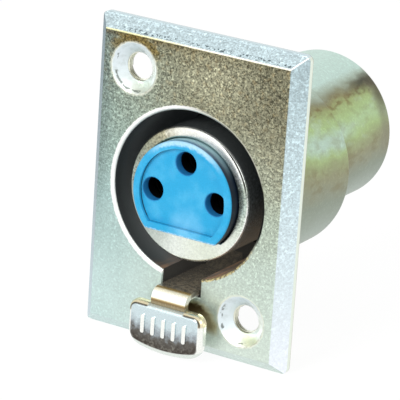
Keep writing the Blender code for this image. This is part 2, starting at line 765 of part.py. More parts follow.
def make_tab():
    """Return the tab: a shallow dished pressing, open at the back."""
    mesh = bpy.data.meshes.new("latch_tab")
    shape = bmesh.new()
    loops = []
    for inset, back in arc((TAB_DISH, TAB_DISH), TAB_DISH, 180, 270, TAB_EDGE_STEPS):
        y = TAB_FRONT_Y + back
        loops.append([shape.verts.new((x, y, z)) for x, z in tab_outline(inset)])
    for outer, inner in zip(loops, loops[1:]):
        for index in range(len(outer)):
            after = (index + 1) % len(outer)
            shape.faces.new((outer[index], outer[after], inner[after], inner[index]))
    shape.faces.new(loops[-1])
    bmesh.ops.recalc_face_normals(shape, faces=shape.faces)
    shape.normal_update()
    if shape.faces[-1].normal.y > 0:
        bmesh.ops.reverse_faces(shape, faces=shape.faces)
    shape.to_mesh(mesh)
    shape.free()
    tab = add_object("latch_tab", mesh, cutter=True)
    sheet = tab.modifiers.new("sheet", "SOLIDIFY")
    sheet.thickness = LATCH_SHEET
    sheet.offset = -1.0
    return tab


def make_tooth():
    """Return the lever's tooth: the arm's end bent up into a ramp with a square locking face."""
    tip_z = -PLUG_BORE_RADIUS + TOOTH_REACH
    root_bottom = ARM_BOTTOM_Z + NECK_SET
    root_top = ARM_TOP_Z - NECK_SET
    outline = [
        (TOOTH_START_Y - LATCH_SHEET, root_bottom),
        (TOOTH_START_Y + LATCH_SHEET / 4, root_bottom),
        (TOOTH_LOCK_Y, tip_z - 1.5 * LATCH_SHEET),
        (TOOTH_LOCK_Y, tip_z),
        (TOOTH_LOCK_Y - LATCH_SHEET / 2, tip_z),
        (TOOTH_START_Y - LATCH_SHEET / 3, root_top),
        (TOOTH_START_Y - LATCH_SHEET, root_top),
    ]
    half_width = TOOTH_WIDTH / 2
    return outline_solid("latch_tooth", outline, -half_width, half_width, FACING_SIDE, cutter=True)


def make_lever(material):
    """Build the latch lever, folded from one sheet, with its origin on the pivot axis."""
    half_width = LATCH_WIDTH / 2
    arm = strip_outline(lever_path(), LATCH_SHEET)
    lever = outline_solid("latch_lever", arm, -half_width, half_width, FACING_SIDE)
    ear_outline = [
        (PIVOT_Y + PIVOT_EAR_ROOT / 2, ARM_BOTTOM_Z + LATCH_SHEET / 2),
        (PIVOT_Y - PIVOT_EAR_ROOT / 2, ARM_BOTTOM_Z + LATCH_SHEET / 2),
        *arc((PIVOT_Y, PIVOT_Z), PIVOT_EAR_RADIUS, 180 + PIVOT_EAR_LEAN, 360 - PIVOT_EAR_LEAN, 8),
    ]
    for side in (-1, 1):
        outer = side * half_width
        inner = side * (half_width - LATCH_SHEET)
        ear = outline_solid(
            f"lever_ear_{side + 2}", ear_outline, inner, outer, FACING_SIDE, cutter=True
        )
        boolean(lever, "UNION", ear)
    boolean(lever, "UNION", make_tooth(), make_tab())
    rib_middle_z = TAB_TOP_Z - TAB_HEIGHT / 2
    for index in range(RIB_COUNT):
        middle_x = (index - (RIB_COUNT - 1) / 2) * RIB_PITCH
        rib = outline_solid(
            f"tab_rib_{index + 1}",
            rounded_rectangle(RIB_WIDTH, RIB_HEIGHT, RIB_CORNER_RADIUS, (middle_x, rib_middle_z)),
            TAB_FRONT_Y - RIB_PROUD,
            TAB_FRONT_Y + LATCH_SHEET / 2,
            FACING_FRONT,
            cutter=True,
        )
        boolean(lever, "UNION", rib)
    pin_hole = make_pin_hole("lever_pin_hole", PIVOT_PIN_DIAMETER + 2 * PIN_GAP, LATCH_WIDTH)
    boolean(lever, "DIFFERENCE", pin_hole)
    lever.data.transform(Matrix.Translation((0.0, -PIVOT_Y, -PIVOT_Z)) @ lever.matrix_world)
    lever.matrix_world = Matrix.Translation((0.0, PIVOT_Y, PIVOT_Z))
    finish_part(lever, material)


def make_pivot_pin(material):
    """Build the straight pin that the lever rocks on."""
    outline = circle((PIVOT_Y, PIVOT_Z), PIVOT_PIN_DIAMETER / 2)
    pin = outline_solid("latch_pin", outline, -POCKET_HALF_WIDTH, POCKET_HALF_WIDTH, FACING_SIDE)
    finish_part(pin, material)


def make_spring(material):
    """Build the latch spring, a coil that stands on the pocket's floor under the arm."""
    radius = (SPRING_DIAMETER - SPRING_WIRE) / 2
    low = POCKET_FLOOR_Z + SNUG_GAP + SPRING_WIRE / 2
    high = ARM_BOTTOM_Z - SNUG_GAP - SPRING_WIRE / 2
    steps = round(SPRING_TURNS * SPRING_STEPS_PER_TURN)
    curve = bpy.data.curves.new("latch_spring", "CURVE")
    curve.dimensions = "3D"
    curve.bevel_depth = SPRING_WIRE / 2
    curve.bevel_resolution = 2
    curve.use_fill_caps = True
    spline = curve.splines.new("POLY")
    spline.points.add(steps)
    for index, point in enumerate(spline.points):
        share = index / steps
        angle = 2 * math.pi * SPRING_TURNS * share
        climb = share - SPRING_END_CLOSING * math.sin(2 * math.pi * share)
        height = low + (high - low) * climb
        point.co = (radius * math.cos(angle), SPRING_Y + radius * math.sin(angle), height, 1.0)
    add_object("latch_spring", curve)
    curve.materials.append(material)


def main():
    """Build every piece of the socket."""
    cast = make_material("satin_nickel_casting", (0.62, 0.64, 0.60), 0.38, 1.0)
    bright = make_material("bright_nickel", (0.78, 0.77, 0.72), 0.18, 1.0)
    blue = make_material("blue_moulding", (0.05, 0.42, 0.80), 0.42, 0.0)
    rubber = make_material("black_rubber", (0.03, 0.03, 0.03), 0.75, 0.0)
    silver = make_material("silvered_brass", (0.80, 0.74, 0.58), 0.25, 1.0)
    steel = make_material("spring_steel", (0.45, 0.45, 0.46), 0.3, 1.0)
    plated = make_material("plated_sheet", (0.70, 0.74, 0.76), 0.22, 1.0)
    make_housing(cast)
    make_sleeve(bright)
    make_cushion(rubber)
    make_front_insert(blue)
    make_rear_insert(blue)
    for name, centre in CONTACT_PLACES.items():
        make_contact(name, centre, silver)
    make_retaining_ring(steel)
    make_ground_terminal(silver)
    make_lever(plated)
    make_pivot_pin(steel)
    make_spring(steel)


main()
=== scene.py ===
"""Looks of the three-pole panel socket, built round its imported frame.

Every size is in millimetres, in the frame's axes: X to the right, +Y into the panel, +Z up. The
origin is on the plug's axis, in the plane of the flange's front face.
"""

import logging
import math
from collections.abc import Callable, Sequence
from dataclasses import dataclass
from enum import Enum

import bmesh
import bpy
from mathutils import Matrix, Vector


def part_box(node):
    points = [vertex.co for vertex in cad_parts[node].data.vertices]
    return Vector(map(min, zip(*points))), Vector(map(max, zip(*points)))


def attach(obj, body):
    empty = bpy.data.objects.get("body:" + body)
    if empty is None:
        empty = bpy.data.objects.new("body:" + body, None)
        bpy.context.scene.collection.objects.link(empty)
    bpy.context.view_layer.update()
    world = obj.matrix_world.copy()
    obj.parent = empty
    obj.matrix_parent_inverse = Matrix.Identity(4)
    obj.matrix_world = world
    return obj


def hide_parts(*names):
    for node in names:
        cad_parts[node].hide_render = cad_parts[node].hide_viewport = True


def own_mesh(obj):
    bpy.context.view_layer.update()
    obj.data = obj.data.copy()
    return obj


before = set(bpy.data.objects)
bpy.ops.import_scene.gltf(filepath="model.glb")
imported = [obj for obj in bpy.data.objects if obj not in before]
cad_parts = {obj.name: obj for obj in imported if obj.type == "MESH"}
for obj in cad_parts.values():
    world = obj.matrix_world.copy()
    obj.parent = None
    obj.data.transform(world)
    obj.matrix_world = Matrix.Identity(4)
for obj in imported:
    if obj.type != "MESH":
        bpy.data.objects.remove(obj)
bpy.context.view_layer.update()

MM = 0.001
FINE_STEPS = 144
SMALL_STEPS = 48
HELIX_STEPS = 24
CORNER_STEPS = 16
BEND_STEPS = 8
ARC_STEPS = 6
# Points closer together than this are one, and a test of a place leaves a slight room.
SAME_POINT = 0.001
SLIGHT = 0.01
# A cutter reaches this far past the body that it cuts.
OVERSHOOT = 2.0
# Only edges whose faces meet at more than this, in radians, are rounded on the sleeve.
FOLD_ANGLE = 0.5
# Faces that differ by less than this, in degrees, are joined.
FLAT_ANGLE = 0.3
LOG = logging.getLogger("panel_socket")

# Sizes that several pieces share.
FLANGE_THICKNESS = 2.3
SLOPE_WIDTH = 1.45
SLOPE_DEPTH = 1.65
FIXING = (7.85, 12.85)
THREAD_PITCH = 0.32
BORE_RADIUS = 9.55
BORE_DEPTH = 16.3
RIM_ROUNDING = 0.35
NOTCH_HALF_WIDTH = 2.5
NOTCH_FLOOR = -11.4
PIVOT = (5.5, -12.3)
WEB_BACK = 18.2
REAR_RISE = 1.4
INSERT_RADIUS = 6.375
INSERT_RECESS = 0.5
DISC_RADIUS = 7.4

Point = tuple[float, float]
Place = tuple[float, float, float]
Piece = bpy.types.Object
Socket = bpy.types.NodeSocket
Material = bpy.types.Material
EdgeTest = Callable[[Vector, bmesh.types.BMEdge], bool]
FaceTest = Callable[[bmesh.types.BMFace], bool]
Settings = dict[str, object]
Sockets = dict[int | str, object]


class Facing(Enum):
    """The axis that an outline is stretched along. The outline's own axes are the other two."""

    X = 0
    Y = 1
    Z = 2

    def place(self, along: float, across: float, up: float) -> Vector:
        """Return the place of an outline's point at a distance along the axis.

        Args:
            along: How far along the axis the point lies.
            across: The point's first coordinate.
            up: Its second coordinate.

        Returns:
            The point's place in the frame's axes.
        """
        place = [across, up]
        place.insert(self.value, along)
        return Vector(place)


class Join(Enum):
    """What a Boolean does with its tool."""

    ADD = "UNION"
    CUT = "DIFFERENCE"
    KEEP_COMMON = "INTERSECT"


def node_box(node: str) -> tuple[Vector, Vector]:
    """Return the lowest and highest corner of a CAD node, in millimetres."""
    low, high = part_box(node)
    return low / MM, high / MM


def arc(
    centre: Point, radius: float, start: float, end: float, steps: int = ARC_STEPS
) -> list[Point]:
    """Return points on an arc.

    Args:
        centre: The arc's centre in the outline's plane.
        radius: The arc's radius.
        start: The angle of the first point, in degrees.
        end: The angle of the last point, in degrees.
        steps: The number of steps between them.

    Returns:
        The points, one more than the steps.
    """
    points = []
    for step in range(steps + 1):
        angle = math.radians(start + (end - start) * step / steps)
        points.append((centre[0] + radius * math.cos(angle), centre[1] + radius * math.sin(angle)))
    return points


def circle(centre: Point, radius: float, steps: int = 36) -> list[Point]:
    """Return points all round a circle."""
    return arc(centre, radius, 0.0, 360.0 - 360.0 / steps, steps - 1)


def d_outline(radius: float, drop: float) -> list[Point]:
    """Return a circle cut off by a flat at the given drop below its centre."""
    lean = math.degrees(math.asin(drop / radius))
    return arc((0.0, 0.0), radius, -lean, 180.0 + lean, FINE_STEPS)


def start_fresh() -> None:
    """Leave edit mode and deselect everything, so that an operator acts on new work alone."""
    if bpy.context.object and bpy.context.object.mode != "OBJECT":
        bpy.ops.object.mode_set(mode="OBJECT")
    bpy.ops.object.select_all(action="DESELECT")


def hold(piece: Piece) -> None:
    """Select one piece alone and make it active.

    Args:
        piece: The piece.
    """
    start_fresh()
    piece.select_set(True)
    bpy.context.view_layer.objects.active = piece


def settle(name: str) -> Piece:
    """Name the active object, and put its place, turn and scale into its mesh.

    Args:
        name: The object's name.

    Returns:
        The object.
    """
    piece = bpy.context.object
    piece.name = name
    piece.data.name = name
    bpy.ops.object.transform_apply(location=True, rotation=True, scale=True)
    return piece


def clean(face_outwards: bool = True) -> None:
    """Merge the edited mesh's doubled points, turn its faces outwards and leave edit mode.

    Args:
        face_outwards: Whether the mesh is closed, so that its faces have an outer side.
    """
    bpy.ops.mesh.select_all(action="SELECT")
    bpy.ops.mesh.remove_doubles(threshold=SAME_POINT * MM)
    if face_outwards:
        bpy.ops.mesh.normals_make_consistent(inside=False)
    bpy.ops.object.mode_set(mode="OBJECT")


def draw_line(name: str, places: Sequence[Vector]) -> Piece:
    """Extrude one point along a list of places.

    Args:
        name: The new object's name.
        places: The corners of the line, in millimetres.

    Returns:
        The object, in edit mode with the whole line selected.
    """
    start_fresh()
    bpy.ops.mesh.primitive_plane_add(size=MM, location=places[0] * MM)
    piece = settle(name)
    bpy.ops.object.mode_set(mode="EDIT")
    bpy.ops.mesh.select_mode(type="VERT")
    bpy.ops.mesh.select_all(action="SELECT")
    bpy.ops.mesh.merge(type="CENTER")
    for before, after in zip(places, places[1:]):
        bpy.ops.mesh.extrude_region_move(TRANSFORM_OT_translate={"value": (after - before) * MM})
    bpy.ops.mesh.select_all(action="SELECT")
    return piece


def turn(
    name: str,
    profile: Sequence[Point],
    centre: Point = (0.0, 0.0),
    steps: int = FINE_STEPS,
    ring: bool = False,
) -> Piece:
    """Spin a profile of (radius, y) points about a line along Y.

    Args:
        name: The new object's name.
        profile: The profile's corners. It starts and ends on the line, unless it makes a ring.
        centre: The (x, z) place of the line.
        steps: The number of facets round it.
        ring: Whether the profile is closed on itself.

    Returns:
        The turned body.
    """
    places = [Vector((centre[0] + radius, y, centre[1])) for radius, y in profile]
    if ring:
        places.append(places[0])
    piece = draw_line(name, places)
    middle = Vector((centre[0], 0.0, centre[1])) * MM
    bpy.ops.mesh.spin(steps=steps, angle=math.tau, center=middle, axis=(0.0, 1.0, 0.0))
    clean()
    return piece


def plate(name: str, outline: Sequence[Point], facing: Facing, start: float, end: float) -> Piece:
    """Fill an outline and stretch it between two places along its facing.

    Args:
        name: The new object's name.
        outline: The outline's corners, in order.
        facing: The axis to stretch it along.
        start: Where it starts on that axis.
        end: Where it ends.

    Returns:
        The closed body.
    """
    piece = draw_line(name, [facing.place(start, *point) for point in outline])
    bpy.ops.mesh.edge_face_add()
    reach = facing.place(end - start, 0.0, 0.0) * MM
    bpy.ops.mesh.extrude_region_move(TRANSFORM_OT_translate={"value": reach})
    clean()
    return piece


def block(name: str, low: Sequence[float], high: Sequence[float]) -> Piece:
    """Add a box between two corners.

    Args:
        name: The new object's name.
        low: The lowest corner.
        high: The highest corner.

    Returns:
        The box.
    """
    start_fresh()
    middle = (Vector(low) + Vector(high)) / 2 * MM
    bpy.ops.mesh.primitive_cube_add(size=1.0, location=middle)
    bpy.context.object.scale = (Vector(high) - Vector(low)) * MM
    return settle(name)


def sheet_strip(name: str, path: Sequence[Point], width: float, thickness: float) -> Piece:
    """Fold a strip of sheet along a path of (y, z) points, centred on x = 0.

    Args:
        name: The new object's name.
        path: The middle line of the sheet.
        width: The strip's width.
        thickness: The sheet's thickness.

    Returns:
        The folded strip, closed on all sides.
    """
    piece = draw_line(name, [Vector((-width / 2, *point)) for point in path])
    bpy.ops.mesh.extrude_region_move(TRANSFORM_OT_translate={"value": (width * MM, 0.0, 0.0)})
    clean()
    apply_modifier(piece, "SOLIDIFY", thickness=thickness * MM, offset=0.0, use_even_offset=True)
    return piece


def helix(
    radius: float, start: float, end: float, turns: float, flat: float = 0.0
) -> list[Place]:
    """Return points on a helix, as (across, across, along).

    Args:
        radius: The helix's radius.
        start: Where it starts along its axis.
        end: Where it ends.
        turns: The number of turns.
        flat: How much the end turns lie closer together than the middle ones.

    Returns:
        The points, with a step for each 15 degrees.
    """
    steps = round(HELIX_STEPS * turns)
    points = []
    for step in range(steps + 1):
        share = step / steps
        angle = math.tau * turns * share
        climb = share - flat * math.sin(math.tau * share)
        along = start + (end - start) * climb
        points.append((radius * math.cos(angle), radius * math.sin(angle), along))
    return points


def wire(name: str, places: Sequence[Vector], radius: float) -> Piece:
    """Lay a round wire along a list of places and close its ends.

    Args:
        name: The new object's name.
        places: The wire's middle line, in millimetres.
        radius: The wire's radius.

    Returns:
        The wire, as a closed mesh.
    """
    start_fresh()
    line = bpy.data.curves.new(name, "CURVE")
    line.dimensions = "3D"
    line.bevel_depth = radius * MM
    line.bevel_resolution = 3
    line.use_fill_caps = True
    spline = line.splines.new("POLY")
    spline.points.add(len(places) - 1)
    for point, place in zip(spline.points, places):
        point.co = (*(place * MM), 1.0)
    strand = bpy.data.objects.new(name, line)
    bpy.context.scene.collection.objects.link(strand)
    hold(strand)
    bpy.ops.object.convert(target="MESH")
    bpy.ops.object.mode_set(mode="EDIT")
    clean()
    return bpy.context.object


def apply_modifier(piece: Piece, kind: str, **settings: object) -> None:
    """Add a modifier, set it up and apply it.

    Args:
        piece: The piece to change.
        kind: The modifier's type.
        settings: The modifier's properties, by name.
    """
    hold(piece)
    modifier = piece.modifiers.new(kind.lower(), kind)
    for name, value in settings.items():
        setattr(modifier, name, value)
    bpy.ops.object.modifier_apply(modifier=modifier.name)


def combine(piece: Piece, join: Join, *tools: Piece) -> None:
    """Add, cut or intersect with each tool in turn, and remove the tools.

    Args:
        piece: The piece to change.
        join: What each tool does to it.
        tools: Closed bodies, which are used up.
    """
    for tool in tools:
        apply_modifier(piece, "BOOLEAN", operation=join.value, solver="EXACT", object=tool)
        bpy.data.objects.remove(tool, do_unlink=True)


def select_edges(piece: Piece, wanted: EdgeTest) -> int:
    """Enter edit mode with only the wanted edges selected.

    Args:
        piece: The object to edit.
        wanted: Says yes or no to an edge, from its middle in millimetres and the edge itself.

    Returns:
        The number of edges selected.
    """
    hold(piece)
    bpy.ops.object.mode_set(mode="EDIT")
    bpy.ops.mesh.select_mode(type="EDGE")
    bpy.ops.mesh.select_all(action="DESELECT")
    shape = bmesh.from_edit_mesh(piece.data)
    count = 0
    for edge in shape.edges:
        middle = (edge.verts[0].co + edge.verts[1].co) / 2 / MM
        if wanted(middle, edge):
            edge.select_set(True)
            count += 1
    bmesh.update_edit_mesh(piece.data)
    return count


def select_faces(piece: Piece, wanted: FaceTest) -> None:
    """Enter edit mode with only the wanted faces selected.

    Args:
        piece: The object to edit.
        wanted: Says yes or no to a face.
    """
    hold(piece)
    bpy.ops.object.mode_set(mode="EDIT")
    bpy.ops.mesh.select_mode(type="FACE")
    bpy.ops.mesh.select_all(action="DESELECT")
    shape = bmesh.from_edit_mesh(piece.data)
    for face in shape.faces:
        face.select_set(wanted(face))
    bmesh.update_edit_mesh(piece.data)


def round_edges(
    piece: Piece,
    width: float,
    wanted: EdgeTest,
    segments: int = 3,
) -> Piece:
    """Bevel the wanted edges of a piece into a rounding.

    Args:
        piece: The piece to change.
        width: How far the rounding reaches from the edge.
        wanted: As for select_edges.
        segments: The rounding's number of facets.

    Returns:
        The same piece.
    """
    if select_edges(piece, wanted):
        bpy.ops.mesh.bevel(offset=width * MM, segments=segments, affect="EDGES")
    bpy.ops.object.mode_set(mode="OBJECT")
    return piece


def merge_flat(piece: Piece) -> None:
    """Join faces that lie in one plane, so that a bevel or a shade meets no needless edges.

    Args:
        piece: The piece to change.
    """
    hold(piece)
    bpy.ops.object.mode_set(mode="EDIT")
    bpy.ops.mesh.select_all(action="SELECT")
    bpy.ops.mesh.remove_doubles(threshold=SAME_POINT * MM)
    bpy.ops.mesh.dissolve_limited(angle_limit=math.radians(FLAT_ANGLE))
    bpy.ops.object.mode_set(mode="OBJECT")


def round_sharp(piece: Piece, width: float, angle: float = 40.0, segments: int = 2) -> Piece:
    """Bevel every edge of a piece that is sharper than an angle.

    Args:
        piece: The piece to change.
        width: How far the bevel reaches from the edge.
        angle: The angle, in degrees.
        segments: The bevel's number of facets.

    Returns:
        The same piece.
    """
    apply_modifier(
        piece,
        "BEVEL",
        width=width * MM,
        segments=segments,
        limit_method="ANGLE",
        angle_limit=math.radians(angle),
    )
    return piece


def runs_along(edge: bmesh.types.BMEdge, facing: Facing) -> bool:
    """Tell whether an edge runs along an axis."""
    reach = edge.verts[1].co - edge.verts[0].co
    return abs(reach[facing.value]) > 0.99 * reach.length


def shade(piece: Piece, angle: float = 35.0) -> None:
    """Shade a piece smooth between its sharp edges, with its flat faces left flat.

    Args:
        piece: The piece to shade.
        angle: The angle from which an edge is sharp, in degrees.
    """
    merge_flat(piece)
    bpy.ops.object.shade_smooth_by_angle(angle=math.radians(angle))
    apply_modifier(piece, "WEIGHTED_NORMAL", keep_sharp=True, weight=100)


def tone(red: int, green: int, blue: int) -> tuple[float, float, float, float]:
    """Return a screen colour of 0 to 255 as the linear colour that a shader takes.

    Args:
        red: The red of the colour on the screen.
        green: Its green.
        blue: Its blue.

    Returns:
        The linear colour, with full alpha.
    """
    channels = []
    for value in (red, green, blue):
        share = value / 255
        channels.append(share / 12.92 if share <= 0.04045 else ((share + 0.055) / 1.055) ** 2.4)
    return (*channels, 1.0)


class Value:
    """A number of a material's nodes. Arithmetic on it adds the Math nodes."""

    def __init__(self, shader: "Shader", socket: Socket) -> None:
        """Wrap an output socket of the shader's tree."""
        self.shader = shader
        self.socket = socket

    def __add__(self, other: "Term") -> "Value":
        """Return the sum."""
        return self.shader.number("ADD", self, other)

    def __sub__(self, other: "Term") -> "Value":
        """Return the difference."""
        return self.shader.number("SUBTRACT", self, other)

    def __rsub__(self, other: "Term") -> "Value":
        """Return the difference from a plain number."""
        return self.shader.number("SUBTRACT", other, self)

    def __mul__(self, other: "Term") -> "Value":
        """Return the product."""
        return self.shader.number("MULTIPLY", self, other)

    def __truediv__(self, other: "Term") -> "Value":
        """Return the quotient."""
        return self.shader.number("DIVIDE", self, other)

    def __abs__(self) -> "Value":
        """Return the size without its sign."""
        return self.shader.number("ABSOLUTE", self)

    __radd__ = __add__
    __rmul__ = __mul__


Term = Value | float
Colour = Socket | tuple[float, float, float, float]


def add_node(
    tree: bpy.types.NodeTree,
    kind: str,
    settings: Settings | None = None,
    sockets: Sockets | None = None,
) -> bpy.types.Node:
    """Add one node to a tree.

    Args:
        tree: The tree of a material or a world.
        kind: The node's type.
        settings: Its own properties, which are set first. A ramp's stops are (place, colour).
        sockets: A value or a link for each named or numbered input.

    Returns:
        The new node.
    """
    node = tree.nodes.new(kind)
    for name, value in (settings or {}).items():
        if name == "stops":
            set_stops(node.color_ramp, value)
        else:
            setattr(node, name, value)
    for key, value in (sockets or {}).items():
        feed(tree, node, key, value)
    return node


def feed(tree: bpy.types.NodeTree, node: bpy.types.Node, key: int | str, value: object) -> None:
    """Link a value's socket to one input of a node, or set the input to a plain value.

    Args:
        tree: The tree that the node is in.
        node: The node to feed.
        key: The input's name or number.
        value: The value.
    """
    if isinstance(value, Value):
        value = value.socket
    if isinstance(value, Socket):
        tree.links.new(value, node.inputs[key])
    else:
        node.inputs[key].default_value = value


def set_stops(ramp: bpy.types.ColorRamp, stops: Sequence[tuple[float, Colour]]) -> None:
    """Give a ramp its stops.

    Args:
        ramp: The ramp of a new node.
        stops: The (place, colour) pairs, in order of place.
    """
    while len(ramp.elements) > 1:
        ramp.elements.remove(ramp.elements[-1])
    ramp.elements[0].position, ramp.elements[0].color = stops[0]
    for place, colour in stops[1:]:
        ramp.elements.new(place).color = colour


class Shader:
    """A material while its nodes are being laid."""

    def __init__(self, name: str) -> None:
        """Start a material with its Principled surface.

        Args:
            name: The material's name.
        """
        self.material = bpy.data.materials.new(name)
        self.material.use_nodes = True
        self.tree = self.material.node_tree
        self.surface = self.tree.nodes["Principled BSDF"]
        place = self.node("ShaderNodeTexCoord").outputs["Object"]
        scaled = self.node("ShaderNodeVectorMath", {"operation": "SCALE"}, {0: place, 3: 1 / MM})
        self.place = scaled.outputs[0]
        parts = self.node("ShaderNodeSeparateXYZ", sockets={0: self.place})
        self.x, self.y, self.z = (Value(self, parts.outputs[axis]) for axis in range(3))

    def node(
        self, kind: str, settings: Settings | None = None, sockets: Sockets | None = None
    ) -> bpy.types.Node:
        """Add one node to the material. The arguments are those of add_node."""
        return add_node(self.tree, kind, settings, sockets)

    def number(self, operation: str, *terms: Term) -> Value:
        """Add a Math node on one to three terms."""
        node = self.node("ShaderNodeMath", {"operation": operation}, dict(enumerate(terms)))
        return Value(self, node.outputs[0])

    def larger(self, first: Term, second: Term) -> Value:
        """Return the larger of two numbers."""
        return self.number("MAXIMUM", first, second)

    def turned(self, up: Term, across: Term) -> Value:
        """Return how far round the origin a place is: 0 to 1, from the left by way of below."""
        return self.number("ARCTAN2", up, across) / math.tau + 0.5

    def rise(self, value: Term, low: float, high: float) -> Value:
        """Return a soft step up.

        Args:
            value: The number that the step depends on.
            low: Where the step starts.
            high: Where it ends.

        Returns:
            0 where the value is below low, 1 where it is above high, and a smooth curve between.
        """
        settings = {"interpolation_type": "SMOOTHSTEP", "clamp": True}
        node = self.node("ShaderNodeMapRange", settings, {0: value, 1: low, 2: high})
        return Value(self, node.outputs[0])

    def fall(self, value: Term, low: float, high: float) -> Value:
        """Return a soft step down from 1 to 0, as rise does up."""
        return 1.0 - self.rise(value, low, high)

    def between(self, value: Term, low: float, high: float, soft: float) -> Value:
        """Return 1 where the value lies between two limits, with soft ends."""
        starts = self.rise(value, low - soft, low + soft)
        return starts * self.fall(value, high - soft, high + soft)

    def length(self, first: Term, second: Term) -> Value:
        """Return the length of a vector of two parts."""
        squares = self.number("POWER", first, 2.0) + self.number("POWER", second, 2.0)
        return self.number("SQRT", squares)

    def mix(self, share: Term, first: Colour, second: Colour) -> Socket:
        """Mix two colours."""
        settings = {"data_type": "RGBA"}
        return self.node("ShaderNodeMix", settings, {0: share, 6: first, 7: second}).outputs[2]

    def dim(self, colour: Colour, share: Term) -> Socket:
        """Scale a colour by a number.

        Args:
            colour: The colour to scale.
            share: The number, which may be above 1.

        Returns:
            The scaled colour.
        """
        settings = {"operation": "SCALE"}
        if isinstance(colour, tuple):
            colour = colour[:3]
        return self.node("ShaderNodeVectorMath", settings, {0: colour, 3: share}).outputs[0]

    def ramp(self, value: Term, *stops: tuple[float, Colour]) -> Socket:
        """Read a colour off a ramp."""
        return self.node("ShaderNodeValToRGB", {"stops": stops}, {0: value}).outputs[0]

    def noise(
        self, size: float, detail: float = 2.0, stretch: Sequence[float] = (1.0, 1.0, 1.0)
    ) -> Value:
        """Return a noise from 0 to 1.

        Args:
            size: The size of its patches, in millimetres.
            detail: How many finer layers it has.
            stretch: How many times longer a patch is along each axis.

        Returns:
            The noise's value.
        """
        scale = [1 / (size * share) for share in stretch]
        grid = self.node("ShaderNodeMapping", sockets={0: self.place, 3: scale}).outputs[0]
        sockets = {"Vector": grid, "Scale": 1.0, "Detail": detail}
        return Value(self, self.node("ShaderNodeTexNoise", sockets=sockets).outputs[0])

    def grains(self, size: float) -> Value:
        """Return a random number from 0 to 1 for each grain of a blasted or cast surface.

        Args:
            size: The grains' size, in millimetres.

        Returns:
            The random number.
        """
        sockets = {"Vector": self.place, "Scale": 1 / size}
        cells = self.node("ShaderNodeTexVoronoi", sockets=sockets)
        parts = self.node("ShaderNodeSeparateXYZ", sockets={0: cells.outputs["Color"]})
        return Value(self, parts.outputs[0])

    def bump(self, height: Value, depth: float, strength: float = 1.0) -> Socket:
        """Return a normal from a height of 0 to 1 and its depth in millimetres."""
        sockets = {"Height": height, "Distance": depth * MM, "Strength": strength}
        return self.node("ShaderNodeBump", sockets=sockets).outputs[0]

    def set(self, name: str, value: object) -> None:
        """Set or link one socket of the surface."""
        feed(self.tree, self.surface, name, value)

    def glow(self, colour: Colour) -> None:
        """Let the surface give off a colour, as light that the studio lacks."""
        self.set("Emission Color", colour)
        self.set("Emission Strength", 1.0)

    def finish(
        self, colour: Colour, rough: Term, metal: Term = 0.0, normal: Colour | None = None
    ) -> Material:
        """Link the surface's sockets and return the material.

        Args:
            colour: The base colour.
            rough: The roughness.
            metal: How metallic it is.
            normal: The normal, where a bump changes it.

        Returns:
            The finished material.
        """
        self.set("Base Color", colour)
        self.set("Roughness", rough)
        self.set("Metallic", metal)
        if normal is not None:
            self.set("Normal", normal)
        return self.material


